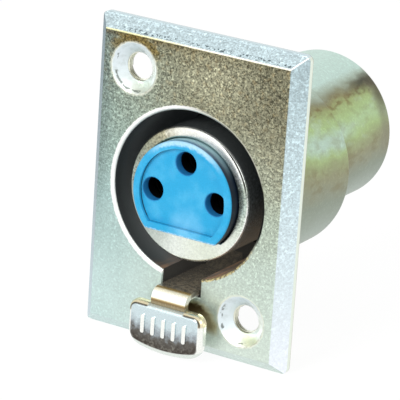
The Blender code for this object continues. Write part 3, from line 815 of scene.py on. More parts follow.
@dataclass(frozen=True)
class BlastedCasting:
    """Blasted nickel on the shell, with painted highlights on the slopes, painted shade in the
    bore and painted reflections in bands on the barrels.
    """

    half_width: float
    half_height: float
    slope_width: float = SLOPE_WIDTH
    slope_depth: float = SLOPE_DEPTH
    thickness: float = FLANGE_THICKNESS
    bore_radius: float = BORE_RADIUS
    rim_rounding: float = RIM_ROUNDING
    notch_half_width: float = NOTCH_HALF_WIDTH
    notch_floor: float = NOTCH_FLOOR
    fixing: Point = FIXING
    head_radius: float = 2.95
    thread_start: float = 1.3
    thread_pitch: float = THREAD_PITCH
    rear_rise: float = REAR_RISE
    web_front: float = 17.0
    grain: float = 0.15
    # Colours of the painted highlight along the top slope's crest and of the dark flecks low on
    # the rim's right.
    line: Colour = tone(250, 246, 226)
    dark_fleck: Colour = tone(96, 70, 34)

    def grained(self, shader: Shader, colour: Colour, contrast: Term) -> Socket:
        """Speckle a colour with blasted grains.

        Args:
            shader: The material being laid.
            colour: The colour to speckle.
            contrast: How strong the speckles are.

        Returns:
            The speckled colour.
        """
        grains = (shader.grains(self.grain) - 0.5) * 1.1
        sparks = shader.rise(shader.noise(self.grain * 2.2, 1.0), 0.52, 0.72) * 0.9
        return shader.dim(colour, (grains + sparks - 0.12) * contrast + 1.0)

    def face(self, shader: Shader) -> Socket:
        """Colour the flat face: warm and coarse at the top, pale and fine at the bottom.

        Args:
            shader: The material being laid.

        Returns:
            The face's colour.
        """
        x, z = shader.x, shader.z
        height = (z + x * 0.25 + 17.0) / 34.0 + (shader.noise(5.0, 2.0) - 0.5) * 0.16
        warm = shader.ramp(
            height,
            (0.0, tone(212, 224, 214)), (0.35, tone(194, 208, 197)), (0.55, tone(173, 184, 168)),
            (0.78, tone(154, 154, 131)), (0.95, tone(136, 132, 106)),
        )
        cool = shader.ramp(
            height,
            (0.0, tone(197, 219, 216)), (0.35, tone(168, 194, 191)), (0.6, tone(150, 169, 159)),
            (1.0, tone(126, 129, 110)),
        )
        colour = shader.mix(shader.rise(x, -12.5, 4.0), cool, warm)
        below_slope = self.half_height - self.slope_width - z
        ragged = below_slope + (shader.noise(0.8, 2.0) - 0.5) * 1.2
        under = shader.fall(ragged, 0.1, 1.1) * (0.75 - shader.rise(x, -7.0, 1.0) * 0.4)
        colour = shader.mix(under, colour, tone(98, 82, 44))
        from_head = shader.length(x + self.fixing[0], z - self.fixing[1])
        from_head += (shader.noise(0.6) - 0.5) * 1.4
        above_head = shader.rise(z - self.fixing[1], 1.2, 2.4) * shader.fall(from_head, 3.6, 4.1)
        colour = shader.mix(above_head * 0.75, colour, tone(112, 92, 34))
        # Painted light on the face: a brighter patch up on the right, painted shade above the bore
        # and along the left edge, and darker towards the upper right corner.
        lit = shader.fall(shader.length((x - 3.9) * 0.6, z - 13.6), 0.8, 4.4)
        colour = shader.mix(lit * 0.5, colour, tone(184, 184, 158))
        dusk = shader.fall(shader.length(x + 0.4, z - 10.2), 0.5, 2.8)
        colour = shader.mix(dusk * 0.35, colour, tone(118, 116, 94))
        edge = shader.fall(x, -11.8, -9.8) * shader.rise(z, -12.0, 6.0)
        colour = shader.mix(edge * 0.5, colour, tone(98, 114, 114))
        corner = shader.rise(x, 0.0, 9.0) * shader.rise(z, 2.0, 13.0)
        colour = shader.mix(corner * 0.6, colour, tone(112, 112, 94))
        tanned = shader.rise(shader.noise(0.7, 2.0), 0.5, 0.7) * shader.rise(height, 0.5, 1.0)
        colour = shader.mix(tanned * 0.35, colour, tone(134, 112, 70))
        contrast = shader.rise(height, 0.1, 1.05) * 0.95 + 0.14
        colour = self.grained(shader, colour, contrast)
        return self.latch_reflection(shader, colour)

    def latch_reflection(self, shader: Shader, colour: Colour) -> Socket:
        """Darken the face to the right of the latch, which it mirrors in brown.

        Args:
            shader: The material being laid.
            colour: The colour so far.

        Returns:
            The new colour.
        """
        x, z = shader.x, shader.z
        away = shader.length(x - 1.6, z + 15.3) + (shader.noise(0.8, 3.0) - 0.5) * 1.1
        beside = shader.rise(x, 0.8, 1.3) * shader.rise(z, -15.6, -14.4)
        beside *= shader.fall(z, -11.9, -11.5)
        deep = shader.rise(z - x * 0.6, -16.4, -13.4)
        core = shader.fall(away, 2.8, 3.4) * beside
        rim = shader.fall(away, 3.2, 4.0) * beside
        colour = shader.mix(rim * 0.7, colour, tone(186, 172, 120))
        colour = shader.mix(core * (deep * 0.3 + 0.6), colour, tone(118, 96, 56))
        return shader.mix(core * deep * 0.9, colour, tone(62, 42, 16))

    def slopes(self, shader: Shader, colour: Colour) -> Socket:
        """Colour the four sloping edges pale blue, with painted light that differs from slope to
        slope and painted highlights as thin bright lines along them.

        Args:
            shader: The material being laid.
            colour: The colour so far.

        Returns:
            The new colour.
        """
        x, y, z = shader.x, shader.y, shader.z
        past_width = abs(x) - (self.half_width - self.slope_width)
        past_height = abs(z) - (self.half_height - self.slope_width)
        past = shader.larger(past_width, past_height)
        # Painted light: paler towards the bottom, its own tone on the top slope and the face's
        # tone blended in on the bottom one.
        pale = shader.ramp(
            (z + 18.0) / 36.0,
            (0.0, tone(238, 243, 250)), (0.3, tone(217, 230, 235)), (0.6, tone(197, 215, 220)),
            (1.0, tone(172, 191, 196)),
        )
        on_end = shader.rise(past_height - past_width, -0.05, 0.05)
        top = on_end * shader.rise(z, 0.0, 1.0)
        pale = shader.mix(top, pale, tone(198, 216, 222))
        bottom = on_end * shader.fall(z, -1.0, 0.0)
        pale = shader.mix(bottom, pale, shader.mix(0.4, colour, tone(206, 224, 224)))
        left = (1.0 - on_end) * shader.fall(x, -1.0, 0.0)
        # Painted shade: the left slope is darker.
        steel = shader.ramp(
            (z + 18.0) / 36.0,
            (0.0, tone(196, 213, 220)), (0.5, tone(152, 171, 178)), (1.0, tone(106, 130, 140)),
        )
        pale = shader.mix(left, pale, steel)
        pale = self.grained(shader, pale, shader.rise(z, -16.0, 10.0) * 0.3 + 0.08)
        pits = shader.rise(shader.noise(0.3, 1.0), 0.56, 0.6) * top * shader.rise(x, -13.0, -7.0)
        lower_half = shader.between(past_height, 0.14, 0.42, 0.08)
        pale = shader.mix(pits * lower_half * 0.85, pale, tone(48, 66, 74))
        # Painted highlights: a white line on the top right mitre and a cream line along the top
        # slope's crest.
        mitre = shader.fall(abs(past_height - past_width), 0.06, 0.16) * shader.rise(z, 0.0, 1.0)
        pale = shader.mix(mitre * shader.rise(x, 0.0, 1.0) * 0.9, pale, tone(252, 253, 252))
        colour = shader.mix(shader.rise(past, -0.03, 0.05), colour, pale)
        crest = shader.between(past_height, -0.12, 0.04, 0.05) * shader.rise(z, 0.0, 1.0)
        to_right = shader.rise(x + shader.noise(2.0) * 4.0, -6.0, 4.0)
        crest_colour = shader.mix(to_right, tone(236, 236, 184), self.line)
        crest *= shader.fall(past_width, -0.1, 0.1)
        colour = shader.mix(crest * 0.85, colour, crest_colour)
        # The side walls, with a painted brown shade along their back edge.
        wall = shader.rise(y, self.slope_depth - 0.06, self.slope_depth + 0.04)
        side = shader.mix(shader.rise(z, 17.9, 18.1), tone(232, 240, 228), tone(214, 230, 236))
        side = shader.mix(shader.between(y, 2.17, 2.4, 0.03) * 0.55, side, tone(124, 96, 66))
        return shader.mix(wall, colour, side)

    def sinks(self, shader: Shader, colour: Colour) -> tuple[Socket, Value]:
        """Colour both countersunk holes near white, with painted light and shade on rim, cone and
        thread.

        Args:
            shader: The material being laid.
            colour: The colour so far.

        Returns:
            The new colour, and a mask that is 1 on the cones' brightest side.
        """
        x, y, z = shader.x, shader.y, shader.z
        bright: Term = 0.0
        for side in (-1, 1):
            across, up = x - side * self.fixing[0], z + side * self.fixing[1]
            ragged = (shader.noise(0.45, 2.0) - 0.5) * 0.5
            distance = shader.length(across, up) + ragged * 0.5
            in_front = shader.fall(y, self.thickness - 0.1, self.thickness)
            head = shader.fall(distance, self.head_radius - 0.06, self.head_radius + 0.04)
            head *= in_front
            # Painted light: each cone is lighter towards its lower right.
            cone = shader.mix(
                shader.rise(across - up + shader.noise(1.0) * 2.0, 0.5, 3.0),
                tone(222, 232, 236),
                tone(234, 238, 232),
            )
            # A yellowish patch low on each cone.
            yellowish_patch = shader.between(up + ragged, -2.7, -1.5, 0.3) * shader.rise(across, -1.0, 0.6)
            cone = shader.mix(yellowish_patch * 0.8, cone, tone(216, 222, 186))
            cloudy = shader.rise(shader.noise(0.7, 2.0), 0.48, 0.66) * 0.3
            cone = shader.mix(cloudy, cone, tone(186, 196, 194))
            if side < 0:
                grey = shader.fall(up - across * 0.3, -1.6, 0.8) * 0.6
                cone = shader.mix(grey, cone, tone(186, 194, 190))
            colour = shader.mix(head, colour, cone)
            low_left = shader.fall(up * 0.8 + across + ragged, -1.6, -0.6)
            broken = shader.rise(shader.noise(0.8, 2.0), 0.5, 0.57) * low_left
            tick = shader.between(distance, self.head_radius - 0.42, self.head_radius - 0.24, 0.05)
            colour = shader.mix(tick * broken * 0.8, colour, tone(84, 92, 86))
            # A painted shadow along the lower right of each rim, and a painted highlight round the
            # rim.
            low_right = shader.rise(across * 0.6 - up, 0.6, 1.8)
            low_right *= shader.rise(shader.noise(0.5, 2.0), 0.42, 0.56)
            ring = shader.between(distance, self.head_radius - 0.1, self.head_radius + 0.02, 0.06)
            colour = shader.mix(ring * low_right * in_front * 0.6, colour, tone(124, 116, 88))
            halo = shader.between(distance, self.head_radius - 0.08, self.head_radius + 0.14, 0.06)
            halo *= in_front * (shader.noise(0.7) * 0.9)
            colour = shader.mix(halo, colour, tone(240, 242, 226))
            wall = shader.rise(y, self.thread_start, self.thread_start + 0.06)
            turn_share = shader.number("ARCTAN2", up, across) / math.tau
            wave = shader.number(
                "SINE", ((y - self.thread_start) / self.thread_pitch + turn_share) * math.tau
            )
            grooves = shader.rise(wave, -0.1, 0.5) * (0.9 - shader.rise(up, -1.2, 0.2) * 0.6)
            shaded = shader.mix(grooves, tone(238, 238, 226), tone(92, 92, 70))
            colour = shader.mix(head * wall, colour, shaded)
            sunlit = shader.rise(across + up * 0.35, 0.9, 2.0) * (1.0 - wall) * head
            bright = sunlit * shader.rise(y, 0.05, 0.3) + bright
        return colour, bright

    def bore(
        self, shader: Shader, colour: Colour, bright: Value
    ) -> tuple[Socket, Value]:
        """Colour the rim's painted highlight and shade, its flecked stretch and the painted shade
        on the walls inside it.

        Args:
            shader: The material being laid.
            colour: The colour so far.
            bright: The mask of the sinks' brightest side.

        Returns:
            The new colour, and a mask that is 1 on the walls with painted shade.
        """
        x, y, z = shader.x, shader.y, shader.z
        radius = shader.length(x, z)
        turned = shader.turned(z, x)
        outside = self.bore_radius + self.rim_rounding
        ragged = (shader.noise(0.35, 2.0) - 0.5) * 0.5
        # Painted highlight and shade on the rim: bright on the left and below, near black on the
        # right, with a bright ragged painted highlight on the face and a thin cream one at the
        # upper right.
        in_rim = shader.fall(radius, outside - 0.06, outside + 0.04) * shader.fall(y, 0.4, 0.5)
        rim_highlight_and_shade = shader.ramp(
            turned,
            (0.0, tone(246, 248, 245)), (0.2, tone(244, 245, 236)), (0.24, tone(150, 140, 112)),
            (0.28, tone(52, 46, 36)), (0.4, tone(16, 15, 13)), (0.46, tone(8, 8, 8)),
            (0.66, tone(12, 12, 12)), (0.74, tone(214, 220, 216)), (0.86, tone(220, 229, 225)),
            (1.0, tone(246, 248, 245)),
        )
        kept = shader.between(turned, 0.235, 0.44, 0.02)
        colour = shader.mix(in_rim * (1.0 - kept), colour, rim_highlight_and_shade)
        on_face = shader.fall(y, 0.1, 0.16)
        white_side = shader.larger(shader.rise(turned, 0.7, 0.78), shader.fall(turned, 0.2, 0.22))
        wear_and_sheen = shader.between(radius + ragged * 0.45, outside - 0.12, outside + 0.2, 0.05)
        colour = shader.mix(wear_and_sheen * on_face * white_side * 0.9, colour, tone(250, 250, 248))
        thin = shader.between(radius + ragged * 0.3, outside - 0.1, outside + 0.03, 0.03)
        thin *= shader.between(turned, 0.56, 0.74, 0.02) * on_face
        colour = shader.mix(thin * 0.6, colour, tone(226, 226, 208))
        # A fringe of dark and gold flecks low on the rim's right.
        low_right = shader.between(turned, 0.27, 0.42, 0.03)
        frayed = radius + (shader.noise(0.2, 3.0) - 0.5) * 0.5
        fray = shader.between(frayed, self.bore_radius - 0.1, self.bore_radius + 0.3, 0.06)
        fray *= low_right * shader.fall(y, 0.3, 0.36)
        spotted = shader.rise(shader.noise(0.3, 2.0), 0.4, 0.6)
        flecks = shader.mix(spotted, self.dark_fleck, tone(206, 188, 124))
        colour = shader.mix(fray * 0.85, colour, flecks)
        # Painted shade: the walls inside the bore and the latch's notch are dark, lighter deeper
        # in, with brown streaks low on the right.
        within = shader.fall(radius, self.bore_radius + 0.06, self.bore_radius + 0.12)
        in_bore = within * shader.rise(y, 0.16, 0.22)
        in_notch = shader.fall(abs(x), self.notch_half_width + 0.02, self.notch_half_width + 0.06)
        in_notch *= shader.between(z, self.notch_floor - 0.04, 1.0 - self.bore_radius, 0.02)
        in_notch *= shader.rise(y, 0.1, 0.2)
        inside = shader.larger(in_bore, in_notch)
        dark = shader.ramp(
            shader.rise(y, 0.2, 4.0),
            (0.0, tone(56, 62, 64)), (0.4, tone(90, 98, 100)), (1.0, tone(124, 130, 132)),
        )
        warmth = shader.rise(x * 0.5 - z + shader.noise(2.2, 3.0) * 4.0, 8.0, 12.0)
        streaks = shader.rise(shader.noise(1.3, 3.0, (0.5, 1.8, 1.2)), 0.46, 0.62)
        warmth *= (streaks * 0.65 + 0.35) * (1.0 - in_notch)
        dark = shader.mix(warmth * 0.8, dark, tone(176, 134, 100))
        dark = shader.mix(in_notch * 0.75, dark, tone(62, 58, 53))
        inside *= shader.fall(y, self.web_front, self.web_front + 1.0)
        # A painted glow: faint on the dark walls, more so low down and brown on the right, and
        # near white on the cones' brightest side.
        glow = shader.mix(shader.fall(z, -8.0, 3.0), tone(11, 13, 14), tone(30, 31, 30))
        glow = shader.mix(warmth, glow, tone(78, 64, 52))
        glow = shader.mix(in_notch * 0.6, glow, tone(32, 30, 27))
        shader.glow(shader.mix(bright, shader.dim(glow, inside), tone(104, 104, 101)))
        return shader.mix(inside, colour, dark), inside

    def barrel(self, shader: Shader) -> Socket:
        """Colour the barrels with painted reflections in bands round them and in patches, and
        painted shade behind the step and at the rear end.

        Args:
            shader: The material being laid.

        Returns:
            The barrels' colour.
        """
        on_rear = shader.rise(shader.y, 18.15, 18.2)
        across = shader.number("ARCTAN2", shader.z - on_rear * self.rear_rise, abs(shader.x))
        along = (1.0, 1.8, 1.0)
        wavy = (shader.noise(3.5, 1.0) - 0.5) * 0.05
        wavy += (shader.noise(0.8, 3.0, along) - 0.5) * 0.035
        drift = shader.between(shader.y, 14.0, 24.0, 4.0) + shader.rise(shader.y, 5.0, 12.0) - 1.0
        turned = across / math.pi + 0.48 + on_rear * 0.02 + wavy + drift * 0.017
        # Painted reflections in bands round the barrels: grey below, olive on the sides, green
        # higher up, brown above that and pale on top.
        colour = shader.ramp(
            turned,
            (0.0, tone(162, 172, 158)), (0.3, tone(158, 171, 159)), (0.42, tone(142, 152, 136)),
            (0.47, tone(146, 151, 130)), (0.52, tone(151, 152, 122)), (0.555, tone(159, 167, 127)),
            (0.6, tone(174, 196, 140)), (0.65, tone(184, 210, 164)), (0.7, tone(178, 202, 146)),
            (0.745, tone(164, 176, 122)), (0.765, tone(150, 148, 106)),
            (0.79, tone(146, 148, 122)), (0.825, tone(178, 194, 180)), (0.86, tone(202, 226, 218)),
            (1.0, tone(206, 230, 222)),
        )
        # Painted reflection patches: a pale streak, and darker and paler mottles on the green
        # band.
        pale = shader.between(turned, 0.61, 0.67, 0.025) * shader.fall(shader.y, 17.0, 23.0)
        pale *= shader.rise(shader.y, 5.0, 13.0)
        colour = shader.mix(pale * 0.75, colour, tone(192, 216, 210))
        green = shader.between(turned, 0.57, 0.75, 0.03)
        darker_mottle = shader.rise(shader.noise(1.2, 3.0, along), 0.45, 0.7) * green
        colour = shader.mix(darker_mottle * 0.4, colour, tone(150, 156, 116))
        paler_mottle = shader.rise(shader.noise(1.7, 2.0, along), 0.52, 0.7) * green
        colour = shader.mix(paler_mottle * 0.45, colour, tone(190, 210, 188))
        # Painted shade on the rear barrel just behind the step.
        behind_step = on_rear * shader.fall(shader.y, 18.6, 21.5)
        behind_step *= shader.between(turned, 0.48, 0.6, 0.03)
        colour = shader.mix(behind_step * 0.5, colour, tone(112, 98, 62))
        # Painted reflection mottles: brown high up and olive on the sides.
        brown = shader.rise(shader.noise(0.8, 3.0, along), 0.48, 0.64)
        brown *= shader.between(turned, 0.735, 0.785, 0.025)
        colour = shader.mix(brown * 0.6, colour, tone(122, 102, 62))
        olive = shader.rise(shader.noise(1.0, 3.0, along), 0.45, 0.65)
        olive *= shader.between(turned, 0.46, 0.56, 0.03)
        colour = shader.mix(olive * 0.45, colour, tone(128, 120, 84))
        # A painted dark reflection band towards the rear, and painted shade at the rear end.
        band = shader.between(turned, 0.755, 0.805, 0.03) * shader.rise(shader.y, 22.5, 28.5)
        colour = shader.mix(band * 0.88, colour, tone(46, 46, 42))
        end = shader.rise(shader.y, 27.2, 28.6) * shader.between(turned, 0.45, 0.76, 0.04)
        colour = shader.mix(end * 0.6, colour, tone(140, 138, 118))
        rear_end_shade = shader.rise(shader.y, 27.6, 29.4) * shader.between(turned, 0.66, 0.81, 0.05)
        colour = shader.mix(rear_end_shade * 0.75, colour, tone(92, 88, 70))
        return self.grained(shader, colour, 0.12)

    def material(self) -> Material:
        """Build the finish.

        Returns:
            The material.
        """
        shader = Shader("blasted_casting")
        colour = self.slopes(shader, self.face(shader))
        behind = shader.rise(shader.y, self.thickness - 0.02, self.thickness + 0.02)
        plain = self.grained(shader, tone(186, 196, 184), 0.2)
        off_barrel = shader.rise(shader.length(shader.x, shader.z), 10.6, 11.2)
        near_flange = shader.fall(shader.y, self.thickness + 0.1, self.thickness + 0.4)
        rear = shader.mix(off_barrel * near_flange, self.barrel(shader), plain)
        low = shader.fall(shader.z, -10.9, -10.4)
        rear = shader.mix(low, rear, plain)
        colour = shader.mix(behind, colour, rear)
        colour, inside = self.bore(shader, *self.sinks(shader, colour))
        speck = shader.grains(self.grain)
        height = shader.noise(self.grain * 1.4, 2.0) + speck * 0.5
        metal = 0.9 - inside * 0.75
        return shader.finish(colour, speck * 0.12 + 0.36, metal, shader.bump(height, 0.012, 0.5))


@dataclass(frozen=True)
class BrightTube:
    """Bright nickel on the nose sleeve, which mirrors light and dark in patches round it."""

    radius: float = 7.65
    bore_radius: float = 6.475

    def material(self) -> Material:
        """Build the finish.

        Returns:
            The material.
        """
        shader = Shader("bright_tube")
        turned = shader.turned(shader.z, shader.x)
        ragged = (shader.noise(0.5, 2.0) - 0.5) * 0.05
        radius = shader.length(shader.x, shader.z)
        # Painted reflections round the sleeve's face, by angle.
        colour = shader.ramp(
            turned + ragged,
            (0.0, tone(160, 172, 164)), (0.06, tone(172, 183, 177)), (0.13, tone(180, 190, 183)),
            (0.17, tone(204, 212, 204)), (0.22, tone(230, 236, 228)), (0.28, tone(230, 236, 222)),
            (0.33, tone(222, 229, 213)), (0.38, tone(236, 241, 230)), (0.46, tone(212, 224, 210)),
            (0.5, tone(190, 206, 196)), (0.545, tone(180, 192, 178)), (0.585, tone(240, 244, 240)),
            (0.7, tone(248, 249, 244)), (0.79, tone(247, 246, 236)), (0.83, tone(184, 179, 152)),
            (0.88, tone(154, 156, 134)), (0.94, tone(152, 160, 148)), (1.0, tone(160, 172, 164)),
        )
        # A painted reflection on the inner edge from the right to the top, a painted shade line
        # near the outer edge at the upper right, and a painted highlight along the outer edge
        # below and on the right.
        inner = shader.fall(radius, self.bore_radius + 0.1, self.bore_radius + 0.32)
        upper = shader.between(turned, 0.53, 0.83, 0.03)
        colour = shader.mix(inner * upper * 0.8, colour, tone(134, 160, 157))
        thin = shader.between(radius, self.radius - 0.24, self.radius - 0.1, 0.03)
        arched = thin * shader.between(turned, 0.53, 0.67, 0.03)
        colour = shader.mix(arched * 0.95, colour, tone(12, 12, 10))
        edge = shader.rise(radius, self.radius - 0.24, self.radius - 0.12)
        lined = edge * shader.between(turned, 0.17, 0.52, 0.04)
        colour = shader.mix(lined * 0.85, colour, tone(252, 252, 248))
        # Painted shade on the outer wall inside the bore, with a faint painted glow low down.
        deep = shader.rise(radius, self.radius - 0.07, self.radius - 0.02)
        deep *= shader.rise(shader.y, 0.45, 0.6)
        colour = shader.mix(deep, colour, tone(74, 78, 78))
        underside = shader.fall(shader.z, -7.0, 2.0)
        shader.glow(shader.dim(tone(58, 54, 46), deep * underside))
        # Speckle, stronger on the upper left and on the right.
        speck = shader.noise(0.28, 3.0)
        on_left = shader.between(turned, 0.44, 0.58, 0.03)
        wear_and_sheen = shader.larger(shader.rise(turned, 0.8, 0.84), on_left)
        colour = shader.dim(colour, (speck - 0.5) * (wear_and_sheen * 1.8 + 0.4) + 1.0)
        metal = 0.95 - deep * 0.75
        return shader.finish(colour, speck * 0.1 + 0.2, metal, shader.bump(speck, 0.006, 0.4))


@dataclass(frozen=True)
class BlueMoulding:
    """Blue moulded plastic of the inserts: satin, with painted shade that makes its walls navy and
    its pin entries black, and painted highlights on its edges.
    """

    front: float
    radius: float = INSERT_RADIUS
    recess: float = INSERT_RECESS
    entry_black: float = 0.45
    rear_start: float = 18.0
    face: Colour = tone(30, 150, 197)
    light: Colour = tone(96, 182, 218)
    navy: Colour = tone(10, 22, 40)

    def material(self) -> Material:
        """Build the finish.

        Returns:
            The material.
        """
        shader = Shader("blue_moulding")
        x, y, z = shader.x, shader.y, shader.z
        radius = shader.length(x, z)
        turned = shader.turned(z, x)
        cloud = shader.noise(1.8, 3.0)
        colour = shader.mix(shader.rise(cloud, 0.4, 0.75) * 0.35, self.face, self.light)
        patches = shader.rise(shader.noise(0.9, 3.0), 0.55, 0.8)
        colour = shader.mix(patches * 0.25, colour, tone(16, 122, 186))
        glint = shader.fall(shader.length(x - 0.6, z + 3.2), 0.4, 2.8)
        colour = shader.mix(glint * cloud * 0.6, colour, tone(150, 208, 238))
        # Painted shade: the recess's wall is navy, less so at the bottom.
        in_recess = shader.fall(radius, 5.7, 5.85) * shader.rise(z, -4.1, -3.9)
        wall = shader.between(y, self.front + 0.3, self.front + self.recess - 0.03, 0.03)
        dark = 0.85 - shader.rise(-1.0 * z, 3.0, 3.5) * 0.5
        colour = shader.mix(wall * in_recess * dark, colour, self.navy)
        # Painted shade in the pin entries: their walls a darker blue, near black from a little way
        # in.
        entry = shader.rise(y, self.front + self.recess + 0.03, self.front + self.recess + 0.1)
        entry *= shader.fall(y, self.rear_start - 0.1, self.rear_start)
        colour = shader.mix(entry * in_recess, colour, tone(38, 124, 180))
        black = shader.between(y, self.entry_black, self.rear_start, 0.04)
        colour = shader.mix(black * in_recess, colour, tone(3, 3, 4))
        # Painted light and shade on the outer side wall: near black low on the right, navy on the
        # right, lighter blue on top, with a pale painted reflection at its root on top.
        outside = shader.rise(radius, self.radius - 0.2, self.radius - 0.12)
        side = shader.ramp(
            turned,
            (0.0, tone(20, 60, 96)), (0.3, tone(5, 9, 16)), (0.4, tone(8, 16, 28)),
            (0.5, self.navy), (0.6, tone(11, 26, 44)), (0.7, tone(28, 74, 108)),
            (0.8, tone(52, 130, 172)), (1.0, tone(20, 60, 96)),
        )
        root = shader.rise(y, self.front + 0.4, self.front + 1.1)
        root *= shader.between(turned, 0.64, 0.86, 0.07)
        side = shader.mix(root * 0.9, side, tone(150, 184, 190))
        side_wall = shader.rise(y, self.front + 0.14, self.front + 0.26)
        side_wall *= shader.fall(y, self.rear_start - 0.1, self.rear_start)
        colour = shader.mix(outside * side_wall, colour, side)
        # A painted highlight on the rounded front edge along the top.
        frayed = radius + (shader.noise(0.4, 2.0) - 0.5) * 0.6
        edge = shader.rise(frayed, self.radius - 0.65, self.radius - 0.3)
        edge *= shader.fall(y, self.front + 0.14, self.front + 0.26)
        wear_and_sheen = edge * shader.between(turned, 0.64, 0.85, 0.05)
        wear_and_sheen *= shader.noise(0.5, 2.0) * 0.8 + 0.45
        colour = shader.mix(wear_and_sheen * 0.85, colour, tone(178, 212, 228))
        # A ragged painted highlight along the flat's lower front edge.
        flat = shader.fall(z, -4.35, -4.2) * shader.rise(shader.noise(0.25, 2.0), 0.35, 0.6)
        flat *= shader.fall(y, self.front + 0.2, self.front + 0.4)
        colour = shader.mix(flat * 0.7, colour, tone(176, 210, 236))
        shader.set("Specular IOR Level", 0.3)
        fine = shader.noise(0.14, 2.0)
        colour = shader.dim(colour, fine * 0.36 + 0.82)
        return shader.finish(colour, fine * 0.15 + 0.42, 0.0, shader.bump(fine, 0.01, 0.4))


@dataclass(frozen=True)
class DarkRubber:
    """Matt black rubber of the cushion ring."""

    colour: Colour = tone(24, 24, 25)

    def material(self) -> Material:
        """Build the finish.

        Returns:
            The material.
        """
        shader = Shader("dark_rubber")
        fine = shader.noise(0.2, 3.0)
        colour = shader.dim(self.colour, fine * 0.5 + 0.75)
        return shader.finish(colour, fine * 0.2 + 0.65, 0.0, shader.bump(fine, 0.02, 0.5))


@dataclass(frozen=True)
class SilveredBrass:
    """Silvered brass of the contacts and the ground terminal, yellow where it has worn."""

    silver: Colour = tone(206, 204, 192)
    brass: Colour = tone(196, 168, 104)

    def material(self) -> Material:
        """Build the finish.

        Returns:
            The material.
        """
        shader = Shader("silvered_brass")
        wear_and_sheen = shader.rise(shader.noise(0.9, 3.0), 0.45, 0.75)
        colour = shader.mix(wear_and_sheen * 0.6, self.silver, self.brass)
        # Painted shade: near black towards the front, where the contacts sit deep in the insert's
        # entries.
        colour = shader.mix(shader.fall(shader.y, 14.0, 19.0), colour, tone(26, 24, 20))
        turning = shader.noise(0.1, 1.0, (6.0, 1.0, 6.0))
        return shader.finish(colour, turning * 0.15 + 0.2, 1.0, shader.bump(turning, 0.006, 0.4))


@dataclass(frozen=True)
class SpringSteel:
    """Blued spring steel of the ring, the pin and the coil, with fine drawn lines."""

    colour: Colour = tone(120, 120, 122)

    def material(self) -> Material:
        """Build the finish.

        Returns:
            The material.
        """
        shader = Shader("spring_steel")
        line = shader.noise(0.15, 2.0, (1.0, 1.0, 5.0))
        colour = shader.dim(self.colour, line * 0.4 + 0.8)
        return shader.finish(colour, line * 0.15 + 0.25, 1.0, shader.bump(line, 0.004, 0.4))


